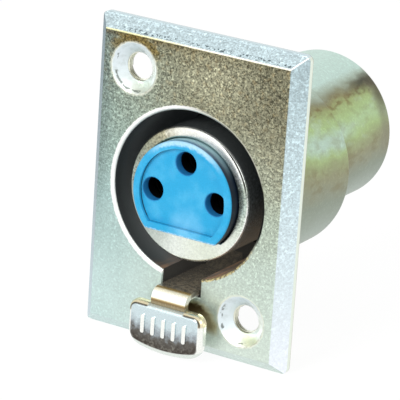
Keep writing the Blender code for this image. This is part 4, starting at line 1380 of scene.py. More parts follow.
@dataclass(frozen=True)
class PlatedSheet:
    """Plated steel of the latch lever, with painted reflections: pale blue on the tab, dark and
    mottled low on it.
    """

    tab_top: float
    tab_bottom: float
    tab_front: float
    tab_half_width: float
    tab_bow: float
    pale: Colour = tone(206, 222, 226)
    dark: Colour = tone(72, 66, 60)
    white: Colour = tone(246, 247, 242)
    cream: Colour = tone(232, 220, 186)

    def material(self) -> Material:
        """Build the finish.

        Returns:
            The material.
        """
        shader = Shader("plated_sheet")
        y, z = shader.y, shader.z
        span = self.tab_top - self.tab_bottom
        share = (z - self.tab_bottom) / span + (shader.noise(0.5, 3.0) - 0.5) * 0.35
        arch = shader.number("POWER", shader.x / 4.65, 2.0) * 0.12
        # Painted reflection: pale blue high on the tab, dark and mottled low on it.
        colour = shader.ramp(
            share - arch,
            (0.14, self.dark), (0.33, tone(100, 97, 92)), (0.46, tone(166, 175, 180)),
            (0.63, self.pale),
        )
        mottled = shader.rise(shader.noise(0.3, 2.0), 0.45, 0.65) * shader.fall(share, 0.2, 0.4)
        colour = shader.mix(mottled * 0.5, colour, tone(150, 148, 138))
        bow_radius = (self.tab_half_width**2 + self.tab_bow**2) / (2 * self.tab_bow)
        from_middle = shader.length(shader.x, z - self.tab_bottom - bow_radius)
        # Painted highlights on the tab's rounded edges: white round the sides and bottom, cream on
        # the shoulders.
        low = shader.rise(from_middle, bow_radius - 0.72, bow_radius - 0.58)
        beside = shader.rise(abs(shader.x), self.tab_half_width - 0.55, self.tab_half_width - 0.42)
        rolled = shader.rise(y, self.tab_front + 0.07, self.tab_front + 0.22)
        edge = shader.larger(rolled, shader.larger(low, beside))
        off_neck = shader.rise(abs(shader.x), 2.15, 2.45)
        shoulder = shader.rise(z, self.tab_top - 1.4, self.tab_top - 1.1)
        edge *= shader.larger(off_neck, 1.0 - shoulder)
        # A painted shade line beneath the shoulders' highlight; the shape has no groove there.
        groove = shader.between(y, self.tab_front + 0.09, self.tab_front + 0.22, 0.02) * shoulder
        groove *= off_neck
        lip = shader.mix(low, self.white, tone(224, 231, 225))
        colour = shader.mix(edge, colour, shader.mix(shoulder, lip, self.cream))
        colour = shader.mix(groove * 0.85, colour, tone(40, 34, 26))
        # A painted shadow line on the tab below the neck.
        foot = shader.rise(z, self.tab_top - 0.45, self.tab_top - 0.15) * (1.0 - off_neck)
        colour = shader.mix(foot * 0.7, colour, tone(172, 168, 146))
        raised = shader.fall(y, self.tab_front - 0.12, self.tab_front - 0.04)
        colour = shader.mix(raised, colour, self.white)
        # The bend: a painted shadow line low on it, a painted highlight over its roll, and a
        # golden line along its top.
        neck = shader.fall(abs(shader.x), 2.18, 2.24)
        neck *= shader.rise(z, self.tab_top - 0.1, self.tab_top - 0.05)
        fold = shader.ramp(
            shader.rise(z, self.tab_top - 0.1, self.tab_top + 1.7),
            (0.0, tone(150, 140, 112)), (0.16, tone(120, 98, 60)), (0.27, tone(176, 152, 104)),
            (0.36, tone(246, 240, 218)), (0.5, tone(255, 255, 252)), (0.85, tone(255, 255, 250)),
            (1.0, self.cream),
        )
        colour = shader.mix(neck, colour, fold)
        top = shader.rise(z, self.tab_top + 1.5, self.tab_top + 1.68) * neck
        gold = shader.rise(y, self.tab_front + 1.3, self.tab_front + 1.5)
        colour = shader.mix(top * gold, colour, tone(150, 126, 78))
        # Painted shade on the arm inside the notch, darker on the left and streaked, with a faint
        # painted glow.
        ragged = y + (shader.noise(0.5, 2.0) - 0.5) * 0.5
        deep = shader.rise(ragged, self.tab_front + 1.7, self.tab_front + 2.0)
        on_arm = deep * shader.rise(z, self.tab_top + 1.0, self.tab_top + 1.3)
        mottle = shader.rise(shader.noise(0.5, 3.0), 0.35, 0.65)
        streak = shader.mix(mottle, tone(82, 78, 68), tone(126, 116, 98))
        on_left = 0.55 - shader.rise(shader.x, -2.2, 0.4) * 0.55
        streak = shader.mix(on_left, streak, tone(44, 43, 40))
        colour = shader.mix(on_arm, colour, streak)
        shader.glow(shader.dim(tone(42, 40, 36), on_arm))
        speck = shader.noise(0.14, 3.0)
        colour = shader.dim(colour, speck * 0.24 + 0.88)
        metal = 0.92 - on_arm * 0.7 - neck * (1.0 - deep) * 0.5
        return shader.finish(colour, speck * 0.12 + 0.2, metal, shader.bump(speck, 0.006, 0.5))


def fit(piece: Piece, body: str, slot: str, finish: Material, *nodes: str) -> None:
    """Dress a piece, let it ride on its body and stand for its CAD nodes.

    Args:
        piece: The finished mesh.
        body: The CAD body that it moves with.
        slot: The record's material slot; not used.
        finish: Its material.
        nodes: The CAD nodes that it stands for.
    """
    shade(piece)
    piece.data.materials.clear()
    piece.data.materials.append(finish)
    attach(piece, body)
    if nodes:
        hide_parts(*nodes)
    LOG.info("%s rides on %s, %d faces", piece.name, body, len(piece.data.polygons))


@dataclass
class Shell:
    """The die-cast shell: bevelled flange, two barrels and the latch's pocket."""

    half_width: float
    half_height: float
    rear_end: float
    thickness: float = FLANGE_THICKNESS
    corner_radius: float = 0.8
    slope_width: float = SLOPE_WIDTH
    slope_depth: float = SLOPE_DEPTH
    softness: float = 0.09
    fixing: Point = FIXING
    hole_radius: float = 1.65
    head_radius: float = 2.9
    rim_softness: float = 0.07
    bore_radius: float = BORE_RADIUS
    bore_depth: float = BORE_DEPTH
    rim_rounding: float = RIM_ROUNDING
    barrel_radius: float = 10.35
    barrel_draft: float = 0.15
    root_fillet: float = 0.5
    web_back: float = WEB_BACK
    seat_radius: float = 7.075
    rear_radius: float = 8.7
    rear_rise: float = REAR_RISE
    rear_spread: float = 0.1
    rear_lift: float = 0.2
    rear_reach: float = 0.4
    rear_wall: float = 1.0
    groove_y: Point = (23.8, 24.7)
    groove_depth: float = 0.4
    notch_half_width: float = NOTCH_HALF_WIDTH
    notch_floor: float = NOTCH_FLOOR
    notch_chamfer: float = 0.12
    pocket_floor: float = -13.9
    pocket_end: float = 11.3
    pocket_wall: float = 1.05
    pocket_base: float = 0.8
    pivot: Point = PIVOT
    pivot_hole_radius: float = 0.85
    thread_pitch: float = THREAD_PITCH
    thread_ridge: float = 0.12
    barrel_rounding: float = 0.3
    barrel_lap: float = 1.0
    rear_rounding: float = 0.5
    pocket_rounding: float = 0.25
    mouth_chamfer: float = 0.25
    flare_slant: float = 1.7
    notch_lap: float = 0.5
    lap: float = 0.05

    def flange(self) -> Piece:
        """Model the flange slab with its four sloping edges and round corners.

        Returns:
            The slab.
        """
        slab = block(
            "shell",
            (-self.half_width, self.slope_depth, -self.half_height),
            (self.half_width, self.thickness, self.half_height),
        )
        select_faces(slab, lambda face: face.normal.y < -0.5)
        bpy.ops.mesh.inset(thickness=self.slope_width * MM, depth=self.slope_depth * MM)
        bpy.ops.object.mode_set(mode="OBJECT")
        column = block(
            "corner_column",
            (-self.half_width, -self.thickness, -self.half_height),
            (self.half_width, 2 * self.thickness, self.half_height),
        )
        round_edges(
            column, self.corner_radius, lambda _, edge: runs_along(edge, Facing.Y), ARC_STEPS
        )
        combine(slab, Join.KEEP_COMMON, column)
        return round_sharp(slab, self.softness, 30.0)

    def front_barrel(self) -> Piece:
        """Model the drafted front barrel with a fillet at its root.

        Returns:
            The solid barrel.
        """
        rear = self.barrel_radius - self.barrel_draft
        rounding = self.barrel_rounding
        edge = arc((rear - rounding, self.web_back - rounding), rounding, 90, 0)
        fillet = arc(
            (self.barrel_radius + self.root_fillet, self.thickness + self.root_fillet),
            self.root_fillet,
            180,
            270,
        )
        inside = self.thickness / 2
        outer = self.barrel_radius + self.root_fillet
        profile = [(0.0, self.web_back), *edge, *fillet, (outer, inside), (0.0, inside)]
        return turn("front_barrel", profile)

    def rear_barrel(self) -> Piece:
        """Model the raised rear barrel with a rounded end.

        Returns:
            The solid barrel.
        """
        rounding = self.rear_rounding
        radius = self.rear_radius + self.rear_spread
        end = self.rear_end + self.rear_reach
        edge = arc((radius - rounding, end - rounding), rounding, 90, 0)
        inside = self.bore_depth + self.barrel_lap
        profile = [(0.0, end), *edge, (radius, inside), (0.0, inside)]
        return turn("rear_barrel", profile, (0.0, self.rear_rise + self.rear_lift))

    def pocket_block(self) -> Piece:
        """Model the block that the latch's pocket is cut in.

        Returns:
            The block.
        """
        half = self.notch_half_width + self.pocket_wall
        bottom = self.pocket_floor - self.pocket_base
        radius = self.pocket_base
        across = half - radius
        outline = [(half, -self.bore_radius), (-half, -self.bore_radius)]
        outline += arc((-across, bottom + radius), radius, 180, 270)
        outline += arc((across, bottom + radius), radius, 270, 360)
        back = self.pocket_end + self.pocket_wall
        solid = plate("pocket_block", outline, Facing.Y, self.thickness / 2, back)
        under = -self.barrel_radius - self.barrel_draft
        return round_edges(
            solid,
            self.pocket_rounding,
            lambda middle, edge: middle.y > back - SLIGHT and middle.z < under,
        )

    def plug_bore(self) -> Piece:
        """Model the cutter of the plug's bore with its rounded rim and the sleeve's seat.

        Returns:
            The cutter.
        """
        rim = arc(
            (self.bore_radius + self.rim_rounding, self.rim_rounding), self.rim_rounding, 180, 270
        )
        mouth = self.bore_radius + self.rim_rounding
        past_web = self.web_back + self.lap
        profile = [
            (0.0, past_web),
            (self.seat_radius, past_web),
            (self.seat_radius, self.bore_depth),
            (self.bore_radius, self.bore_depth),
            *rim,
            (mouth, -OVERSHOOT),
            (0.0, -OVERSHOOT),
        ]
        return turn("plug_bore", profile)

    def rear_cavity(self) -> Piece:
        """Model the cutter of the rear cavity, with the ring's groove and a chamfered mouth.

        Returns:
            The cutter.
        """
        radius = self.rear_radius - self.rear_wall
        chamfer = self.mouth_chamfer
        groove = radius + self.groove_depth
        end = self.rear_end + self.rear_reach
        profile = [
            (0.0, end + OVERSHOOT),
            (radius + chamfer, end + OVERSHOOT),
            (radius + chamfer, end),
            (radius, end - chamfer),
            (radius, self.groove_y[1]),
            (groove, self.groove_y[1]),
            (groove, self.groove_y[0]),
            (radius, self.groove_y[0]),
            (radius, self.web_back),
            (0.0, self.web_back),
        ]
        return turn("rear_cavity", profile, (0.0, self.rear_rise))

    def notch_flare(self) -> Piece:
        """Model the cutter of the chamfer where the notch leaves the front face.

        Returns:
            The cutter.
        """
        half = self.notch_half_width + self.notch_chamfer
        reach = self.flare_slant * self.notch_chamfer
        bottom = self.notch_floor - self.notch_chamfer
        cutter = block("notch_flare", (-half, -OVERSHOOT, bottom), (half, reach, 0.0))
        return round_edges(
            cutter,
            reach,
            lambda middle, edge: middle.y > reach - SLIGHT and not runs_along(edge, Facing.Y),
            1,
        )

    def fixing_hole(self, side: int) -> Piece:
        """Model the cutter of one countersunk hole, on the side -1 or 1.

        Args:
            side: -1 for the upper left hole, 1 for the lower right one.

        Returns:
            The cutter.
        """
        hole, head, soft = self.hole_radius, self.head_radius, self.rim_softness
        profile = [
            (0.0, self.thickness + OVERSHOOT),
            (hole + 2 * soft, self.thickness + OVERSHOOT),
            (hole + 2 * soft, self.thickness + soft),
            (hole, self.thickness - soft),
            (hole, head - hole),
            (head - soft, soft),
            (head + 2 * soft, -soft / 2),
            (head + 2 * soft, -OVERSHOOT),
            (0.0, -OVERSHOOT),
        ]
        centre = (side * self.fixing[0], -side * self.fixing[1])
        return turn("fixing_hole", profile, centre, FINE_STEPS // 2)

    def thread(self, name: str, side: int) -> Piece:
        """Model the fine thread in one fixing hole as a ridge that winds along its wall.

        Args:
            name: The new object's name.
            side: -1 for the upper left hole, 1 for the lower right one.

        Returns:
            The ridge.
        """
        start = self.head_radius - self.hole_radius + self.thread_ridge
        turns = (self.thickness - self.thread_ridge - start) / self.thread_pitch
        places = helix(self.hole_radius, start, self.thickness - self.thread_ridge, turns)
        centre = Vector((side * self.fixing[0], 0.0, -side * self.fixing[1]))
        return wire(name, [centre + Vector((x, y, z)) for x, z, y in places], self.thread_ridge)

    def build(self) -> None:
        """Model the shell and its threads, and dress them."""
        shell = self.flange()
        combine(shell, Join.ADD, self.front_barrel(), self.rear_barrel(), self.pocket_block())
        half = self.notch_half_width
        notch_back = self.thickness + self.notch_lap
        notch = block("notch", (-half, -OVERSHOOT, self.notch_floor), (half, notch_back, 0.0))
        pocket_front = self.thickness - self.lap
        pocket = block(
            "pocket", (-half, pocket_front, self.pocket_floor), (half, self.pocket_end, 0.0)
        )
        pivot_outline = circle(self.pivot, self.pivot_hole_radius)
        pivot = plate("pivot_hole", pivot_outline, Facing.X, -2 * half, 2 * half)
        combine(shell, Join.CUT, self.plug_bore(), self.rear_cavity(), notch, pocket, pivot)
        combine(shell, Join.CUT, self.notch_flare(), self.fixing_hole(-1), self.fixing_hole(1))
        finish = BlastedCasting(self.half_width, self.half_height).material()
        fit(shell, "socket", "shell_casting", finish, "flange_housing")
        for number, side in enumerate((-1, 1), 1):
            ridge = self.thread(f"fixing_thread_{number}", side)
            fit(ridge, "socket", "shell_casting", finish)


@dataclass
class Nose:
    """The bright sleeve in the plug's bore, its blue insert and the cushion ring behind it."""

    sleeve_radius: float
    sleeve_front: float
    insert_front: float
    insert_radius: float = INSERT_RADIUS
    web_back: float = WEB_BACK
    bore_depth: float = BORE_DEPTH
    bore_radius: float = BORE_RADIUS
    flat_drop: float = 4.5
    play: float = 0.1
    spigot_wall: float = 0.5
    rim: float = 0.88
    recess: float = INSERT_RECESS
    disc_radius: float = DISC_RADIUS
    disc_y: Point = (18.5, 20.5)
    rear_rise: float = REAR_RISE
    entry_radius: float = 1.325
    entry_depth: float = 3.2
    contact_places: tuple[Point, ...] = ((-4.05, 0.0), (4.05, 0.0), (0.0, 3.8))
    groove_half_width: float = 1.4
    groove_floor: float = 7.2
    cushion_thickness: float = 1.2
    shoulder_gap: float = 0.3
    front_rounding: float = 0.42
    bore_rounding: float = 0.16
    nose_rounding: float = 0.22
    floor_rounding: float = 0.1
    entry_chamfer: float = 0.12
    entry_inset: float = 1.5
    collar_radius: float = 1.9
    collar_depth: float = 1.1
    socket_radius: float = 1.725

    def sleeve(self) -> None:
        """Model the sleeve: a turned tube with a D-shaped bore and round front edges."""
        radius = self.sleeve_radius
        spigot = self.insert_radius + self.play + self.spigot_wall
        shoulder = self.bore_depth - self.shoulder_gap
        soft = self.front_rounding
        edge = arc((radius - soft, self.sleeve_front + soft), soft, 0, -90, BEND_STEPS)
        profile = [
            (0.0, self.web_back),
            (spigot, self.web_back),
            (spigot, shoulder),
            (radius, shoulder),
            *edge,
            (0.0, self.sleeve_front),
        ]
        tube = turn("nose_tube", profile)
        outline = d_outline(self.insert_radius + self.play, self.flat_drop + self.play)
        bore = plate("tube_bore", outline, Facing.Y, -OVERSHOOT, self.web_back + OVERSHOOT)
        combine(tube, Join.CUT, bore)
        merge_flat(tube)
        front = self.sleeve_front + SLIGHT
        limit = self.insert_radius + self.play + 2 * SLIGHT
        round_edges(
            tube,
            self.bore_rounding,
            lambda middle, edge: (
                middle.y < front
                and math.hypot(middle.x, middle.z) < limit
                and edge.calc_face_angle(0.0) > FOLD_ANGLE
            ),
        )
        fit(tube, "socket", "bright_plating", BrightTube(radius).material(), "nose_sleeve")

    def cushion(self) -> None:
        """Model the crowned rubber ring at the bottom of the plug's gap."""
        inner = self.sleeve_radius + self.play
        outer = self.bore_radius - self.play
        back = self.bore_depth - self.play
        front = back - self.cushion_thickness
        crown = (outer - inner) / 2
        bulge = arc(((outer + inner) / 2, 0.0), crown, 0, -180, 2 * ARC_STEPS)
        profile = [(inner, back), (outer, back)]
        profile += [(radius, front + crown / 2 + y / 2) for radius, y in bulge]
        ring = turn("cushion", profile, ring=True)
        fit(ring, "socket", "black_rubber", DarkRubber().material(), "cushion_ring")

    def insert(self, finish: Material) -> None:
        """Model the blue D-shaped nose with its recess, three entries and rear disc.

        Args:
            finish: The material to dress it with.
        """
        nose = plate(
            "blue_nose",
            d_outline(self.insert_radius, self.flat_drop),
            Facing.Y,
            self.insert_front,
            sum(self.disc_y) / 2,
        )
        front = self.insert_front
        round_edges(nose, self.nose_rounding, lambda middle, edge: middle.y < front + SLIGHT)
        floor = front + self.recess
        recess = plate(
            "recess",
            d_outline(self.insert_radius - self.rim, self.flat_drop - self.rim),
            Facing.Y,
            front - OVERSHOOT,
            floor,
        )
        round_edges(recess, self.floor_rounding, lambda middle, edge: middle.y > floor - SLIGHT, 2)
        disc_front, disc_back = self.disc_y
        profile = [(0.0, disc_back), (self.disc_radius, disc_back), (self.disc_radius, disc_front)]
        disc = turn("nose_disc", [*profile, (0.0, disc_front)], (0.0, self.rear_rise))
        groove_top = self.disc_radius + self.rear_rise + OVERSHOOT
        groove = block(
            "groove",
            (-self.groove_half_width, self.web_back - self.play, self.groove_floor),
            (self.groove_half_width, disc_back + OVERSHOOT, groove_top),
        )
        combine(nose, Join.ADD, disc)
        combine(nose, Join.CUT, recess, groove)
        mouth = self.entry_radius + self.entry_chamfer
        collar_front = disc_back - self.collar_depth
        socket_front = self.entry_depth - self.entry_inset
        profile = [
            (0.0, disc_back + OVERSHOOT),
            (self.collar_radius, disc_back + OVERSHOOT),
            (self.collar_radius, collar_front),
            (self.socket_radius, collar_front),
            (self.socket_radius, socket_front),
            (self.entry_radius, socket_front),
            (self.entry_radius, floor + self.entry_chamfer),
            (mouth, floor),
            (mouth, front - OVERSHOOT),
            (0.0, front - OVERSHOOT),
        ]
        for place in self.contact_places:
            combine(nose, Join.CUT, turn("entry", profile, place, SMALL_STEPS))
        fit(nose, "socket", "blue_moulding", finish, "front_insert")

    def build(self, finish: Material) -> None:
        """Model all three pieces.

        Args:
            finish: The insert's material.
        """
        self.sleeve()
        self.cushion()
        self.insert(finish)


@dataclass
class RearClosure:
    """The blue backing disc, its retaining ring and the ground terminal."""

    ring_y: Point
    terminal_end: float
    rear_rise: float = REAR_RISE
    disc_radius: float = DISC_RADIUS
    disc_y: Point = (20.8, 23.6)
    hole_radius: float = 1.35
    cavity_radius: float = 7.7
    ring_bite: float = 0.3
    ring_width: float = 1.3
    ring_gap_angle: float = 24.0
    ear_radius: float = 1.1
    eye_radius: float = 0.5
    sheet: float = 0.5
    terminal_half_width: float = 1.1
    terminal_bottom: float = 7.5
    foot_drop: float = 1.2
    foot_y: float = 18.55
    terminal_eye_radius: float = 0.6
    disc_rounding: float = 0.2
    groove_play: float = 0.3
    hole_chamfer: float = 0.25
    ear_inset: float = 0.1
    ear_sweep: float = 260.0
    softness: float = 0.05
    tip_rounding: float = 0.9
    sheet_softness: float = 0.04

    def backing(self, finish: Material, places: Sequence[Point]) -> None:
        """Model the backing disc with its edge rounded and a hole for each contact.

        Args:
            finish: The material to dress it with.
            places: The (x, z) place of each contact.
        """
        front, back = self.disc_y
        soft = self.disc_rounding
        edge = arc((self.disc_radius - soft, back - soft), soft, 90, 0, ARC_STEPS // 2)
        profile = [(0.0, back), *edge, (self.disc_radius, front), (0.0, front)]
        disc = turn("blue_backing", profile, (0.0, self.rear_rise))
        half = self.terminal_half_width + self.groove_play
        low = self.terminal_bottom - self.groove_play
        top = self.disc_radius + self.rear_rise + OVERSHOOT
        groove = block("groove", (-half, front - OVERSHOOT, low), (half, back + OVERSHOOT, top))
        combine(disc, Join.CUT, groove)
        mouth = self.hole_radius + self.hole_chamfer
        profile = [
            (0.0, back + OVERSHOOT),
            (mouth, back + OVERSHOOT),
            (mouth, back),
            (self.hole_radius, back - self.hole_chamfer),
            (self.hole_radius, front - OVERSHOOT),
            (0.0, front - OVERSHOOT),
        ]
        for place in places:
            combine(disc, Join.CUT, turn("hole", profile, place, SMALL_STEPS))
        fit(disc, "socket", "blue_moulding", finish, "rear_insert")

    def ring(self, finish: Material) -> None:
        """Model the internal spring ring with its two eared ends.

        Args:
            finish: The material to dress it with.
        """
        outer = self.cavity_radius + self.ring_bite
        inner = outer - self.ring_width
        ear_circle = outer - self.ear_inset - self.ear_radius
        lean = math.degrees(self.ear_radius / inner)
        middle = (0.0, self.rear_rise)
        start, end = 90 + self.ring_gap_angle, 450 - self.ring_gap_angle
        ears = [arc(middle, ear_circle, angle, angle, 1)[0] for angle in (start, end)]
        outline = arc(middle, outer, start, end, FINE_STEPS)
        outline += arc(ears[1], self.ear_radius, end, end + self.ear_sweep, SMALL_STEPS // 2)
        outline += arc(middle, inner, end - lean, start + lean, FINE_STEPS)
        outline += arc(ears[0], self.ear_radius, start - self.ear_sweep, start, SMALL_STEPS // 2)
        ring = plate("spring_ring", outline, Facing.Y, *self.ring_y)
        front, back = self.ring_y[0] - OVERSHOOT, self.ring_y[1] + OVERSHOOT
        profile = [(0.0, back), (self.eye_radius, back), (self.eye_radius, front), (0.0, front)]
        for ear in ears:
            combine(ring, Join.CUT, turn("eye", profile, ear, SMALL_STEPS // 2))
        round_sharp(ring, self.softness)
        fit(ring, "socket", "spring_steel", finish, "retaining_ring")

    def terminal(self, finish: Material) -> None:
        """Model the bent strip from the web to its solder eye.

        Args:
            finish: The material to dress it with.
        """
        level = self.terminal_bottom + self.sheet / 2
        bend = arc((self.foot_y + self.sheet, level - self.sheet), self.sheet, 180, 90, BEND_STEPS)
        foot = (self.foot_y, self.terminal_bottom - self.foot_drop)
        path = [foot, *bend, (self.terminal_end, level)]
        strip = sheet_strip("ground_strip", path, 2 * self.terminal_half_width, self.sheet)
        tip = self.terminal_end - SLIGHT
        round_edges(
            strip,
            self.tip_rounding,
            lambda middle, edge: middle.y > tip and runs_along(edge, Facing.Z),
            ARC_STEPS,
        )
        centre = (0.0, self.terminal_end - self.terminal_half_width)
        outline = circle(centre, self.terminal_eye_radius)
        low = self.terminal_bottom - OVERSHOOT
        eye = plate("eye", outline, Facing.Z, low, self.terminal_bottom + OVERSHOOT)
        combine(strip, Join.CUT, eye)
        round_sharp(strip, self.sheet_softness)
        fit(strip, "socket", "silvered_brass", finish, "ground_terminal")


@dataclass
class Contacts:
    """Three turned contacts with a slotted socket in front and a solder cup behind."""

    places: tuple[Point, ...]
    start_y: float = 2.0
    end_y: float = 28.5
    bore: float = 1.2
    wall: float = 0.35
    socket_length: float = 9.0
    shank: float = 1.2
    collar: float = 1.8
    collar_y: Point = (19.5, 20.5)
    cup: float = 1.45
    cup_y: float = 23.9
    cup_wall: float = 0.45
    cup_depth: float = 3.4
    slot_half_width: float = 0.2
    slot_length: float = 7.0
    softness: float = 0.08

    def contact(self, number: int, place: Point, finish: Material) -> None:
        """Model one contact and dress it.

        Args:
            number: The contact's number.
            place: Its (x, z) place.
            finish: The material to dress it with.
        """
        outer = self.bore + self.wall
        socket_end = self.start_y + self.socket_length
        cup_bore = self.cup - self.cup_wall
        soft = self.softness
        profile = [
            (0.0, self.end_y - self.cup_depth),
            (cup_bore, self.end_y - self.cup_depth),
            (cup_bore, self.end_y - soft),
            (cup_bore + soft, self.end_y),
            (self.cup - soft, self.end_y),
            (self.cup, self.end_y - soft),
            (self.cup, self.cup_y + soft),
            (self.cup - soft, self.cup_y),
            (self.shank, self.cup_y),
            (self.shank, self.collar_y[1]),
            (self.collar - soft, self.collar_y[1]),
            (self.collar, self.collar_y[1] - soft),
            (self.collar, self.collar_y[0] + soft),
            (self.collar - soft, self.collar_y[0]),
            (self.shank, self.collar_y[0]),
            (self.shank, socket_end + self.wall),
            (outer, socket_end),
            (outer, self.start_y + soft),
            (outer - soft, self.start_y),
            (self.bore + soft, self.start_y),
            (self.bore, self.start_y + soft),
            (self.bore, socket_end - self.wall),
            (0.0, socket_end - self.wall),
        ]
        body = turn(f"pin_socket_{number}", profile, place, SMALL_STEPS)
        x, z = place
        slot = block(
            "slot",
            (x - self.slot_half_width, 0.0, z - 2 * outer),
            (x + self.slot_half_width, self.start_y + self.slot_length, z + 2 * outer),
        )
        side = block(
            "cup_side",
            (x - 2 * self.cup, self.end_y - self.cup_depth, z + cup_bore / 3),
            (x + 2 * self.cup, self.end_y + OVERSHOOT, z + 2 * self.cup),
        )
        combine(body, Join.CUT, slot, side)
        fit(body, "socket", "silvered_brass", finish, f"contact_{number}")

    def build(self, finish: Material) -> None:
        """Model every contact."""
        for number, place in enumerate(self.places, 1):
            self.contact(number, place, finish)


@dataclass
class Latch:
    """The sprung latch: a folded lever with its push tab, the pin it rocks on and its spring."""

    tab_front: float
    tab_half_width: float
    spring_low: float
    spring_high: float
    width: float = 4.4
    sheet: float = 0.7
    arm_top: float = -10.6
    bend_radius: float = 1.3
    set_back: float = 0.05
    tab_top: float = -12.3
    tab_height: float = 4.9
    tab_corner: float = 2.0
    tab_shoulder: float = 1.1
    tab_bow: float = 0.78
    tab_forward: float = 0.3
    tab_spread: float = 0.18
    neck_back: float = 0.3
    tab_rounding: float = 0.8
    rib_count: int = 5
    rib_pitch: float = 1.35
    rib_width: float = 0.5
    rib_height: float = 2.2
    rib_proud: float = 0.2
    rib_corner: float = 0.22
    rib_softness: float = 0.1
    pivot: Point = PIVOT
    pin_radius: float = 0.75
    pin_half_length: float = 3.55
    pin_play: float = 0.15
    pin_chamfer: float = 0.1
    ear_radius: float = 1.2
    ear_root: float = 3.8
    arm_end: float = 7.9
    tooth_half_width: float = 1.7
    tooth_y: float = 10.1
    tooth_tip: float = -8.95
    spring_y: float = 8.4
    spring_radius: float = 1.14
    spring_wire: float = 0.16
    spring_turns: float = 3.5
    spring_closing: float = 0.06
    spring_keep: float = 0.79

    def tab_reach(self) -> float:
        """Return how far the tab reaches to each side of its middle."""
        return self.tab_half_width + self.tab_spread

    def tab_outline(self) -> list[Point]:
        """Return the tab's outline: two shoulders, two round corners and a bowed lower edge.

        Returns:
            The outline's (x, z) corners.
        """
        half = self.tab_reach()
        bottom = self.tab_top - self.tab_height
        bow_radius = (half**2 + self.tab_bow**2) / (2 * self.tab_bow)
        bow_middle = bottom - self.tab_bow + bow_radius
        corner_x = half - self.tab_corner
        reach = bow_radius - self.tab_corner
        corner_z = bow_middle - math.sqrt(reach**2 - corner_x**2)
        lean = math.degrees(math.atan2(corner_x, bow_middle - corner_z))
        shoulder = self.tab_shoulder
        shoulder_z = self.tab_top - shoulder
        outline = arc((half - shoulder, shoulder_z), shoulder, 90, 0, BEND_STEPS)
        outline += arc((corner_x, corner_z), self.tab_corner, 0, lean - 90, CORNER_STEPS)
        bow = arc((0.0, bow_middle), bow_radius, lean - 90, -lean - 90, CORNER_STEPS)
        outline += bow[1:-1]
        outline += arc((-corner_x, corner_z), self.tab_corner, -lean - 90, -180, CORNER_STEPS)
        outline += arc((shoulder - half, shoulder_z), shoulder, 180, 90, BEND_STEPS)
        return outline

    def tab(self) -> Piece:
        """Model the tab: a dished pressing with rounded edges, open at the back.

        Returns:
            The tab.
        """
        front = self.tab_front + self.rib_proud - self.tab_forward
        back = front + self.tab_rounding + self.tab_forward + self.set_back
        tab = plate("latch_tab", self.tab_outline(), Facing.Y, front, back)
        round_edges(tab, self.tab_rounding, lambda middle, edge: middle.y < front + SAME_POINT, 6)
        select_faces(tab, lambda face: face.normal.y > 0.9)
        bpy.ops.mesh.delete(type="FACE")
        clean(face_outwards=False)
        apply_modifier(tab, "SOLIDIFY", thickness=self.sheet * MM, offset=-1.0)
        return tab

    def arm(self) -> Piece:
        """Model the arm, from behind the tab over the notch's floor to the tooth.

        Returns:
            The arm.
        """
        middle_z = self.arm_top - self.sheet / 2
        front = self.tab_front + self.rib_proud + self.neck_back + self.sheet / 2
        radius = self.bend_radius - self.sheet / 2
        bend = arc((front + radius, middle_z - radius), radius, 180, 90, 2 * ARC_STEPS)
        path = [(front, self.tab_top - self.tab_shoulder), *bend, (self.arm_end, middle_z)]
        return sheet_strip("latch_arm", path, self.width, self.sheet)

    def tooth(self) -> Piece:
        """Model the ramp at the arm's rear end, with its square locking face.

        Returns:
            The tooth.
        """
        low = self.arm_top - self.sheet + self.set_back
        high = self.arm_top - self.set_back
        outline = [
            (self.arm_end - self.sheet, low),
            (self.arm_end + self.sheet / 4, low),
            (self.tooth_y, self.tooth_tip - 1.5 * self.sheet),
            (self.tooth_y, self.tooth_tip),
            (self.tooth_y - self.sheet / 2, self.tooth_tip),
            (self.arm_end - self.sheet / 3, high),
            (self.arm_end - self.sheet, high),
        ]
        half = self.tooth_half_width
        return plate("latch_tooth", outline, Facing.X, -half, half)

    def lever(self) -> None:
        """Join tab, arm, tooth and ears, and dress the lever."""
        lever = self.arm()
        root = self.arm_top - self.sheet / 2
        y, z = self.pivot
        outline = [(y + self.ear_root / 2, root), (y - self.ear_root / 2, root)]
        outline += arc((y, z), self.ear_radius, 190, 350, CORNER_STEPS)
        for side in (-1, 1):
            outer = side * self.width / 2
            inner = side * (self.width / 2 - self.sheet)
            combine(lever, Join.ADD, plate("ear", outline, Facing.X, inner, outer))
        combine(lever, Join.ADD, self.tooth(), self.tab())
        rib_z = self.tab_top - self.tab_height / 2
        rib_front = self.tab_front - self.tab_forward
        back = rib_front + self.rib_proud + self.sheet / 2
        crest = rib_front + SAME_POINT
        for index in range(self.rib_count):
            x = (index - (self.rib_count - 1) / 2) * self.rib_pitch
            rib = block(
                "rib",
                (x - self.rib_width / 2, rib_front, rib_z - self.rib_height / 2),
                (x + self.rib_width / 2, back, rib_z + self.rib_height / 2),
            )
            round_edges(rib, self.rib_corner, lambda middle, edge: runs_along(edge, Facing.Y), 5)
            round_edges(rib, self.rib_softness, lambda middle, edge: middle.y < crest, 3)
            combine(lever, Join.ADD, rib)
        hole = circle((y, z), self.pin_radius + self.pin_play)
        combine(lever, Join.CUT, plate("pin_hole", hole, Facing.X, -self.width, self.width))
        lever.name = "latch_push_lever"
        bottom = self.tab_top - self.tab_height - self.tab_bow
        face = rib_front + self.rib_proud
        finish = PlatedSheet(self.tab_top, bottom, face, self.tab_reach(), self.tab_bow)
        fit(lever, "lever", "plated_sheet", finish.material(), "latch_lever")

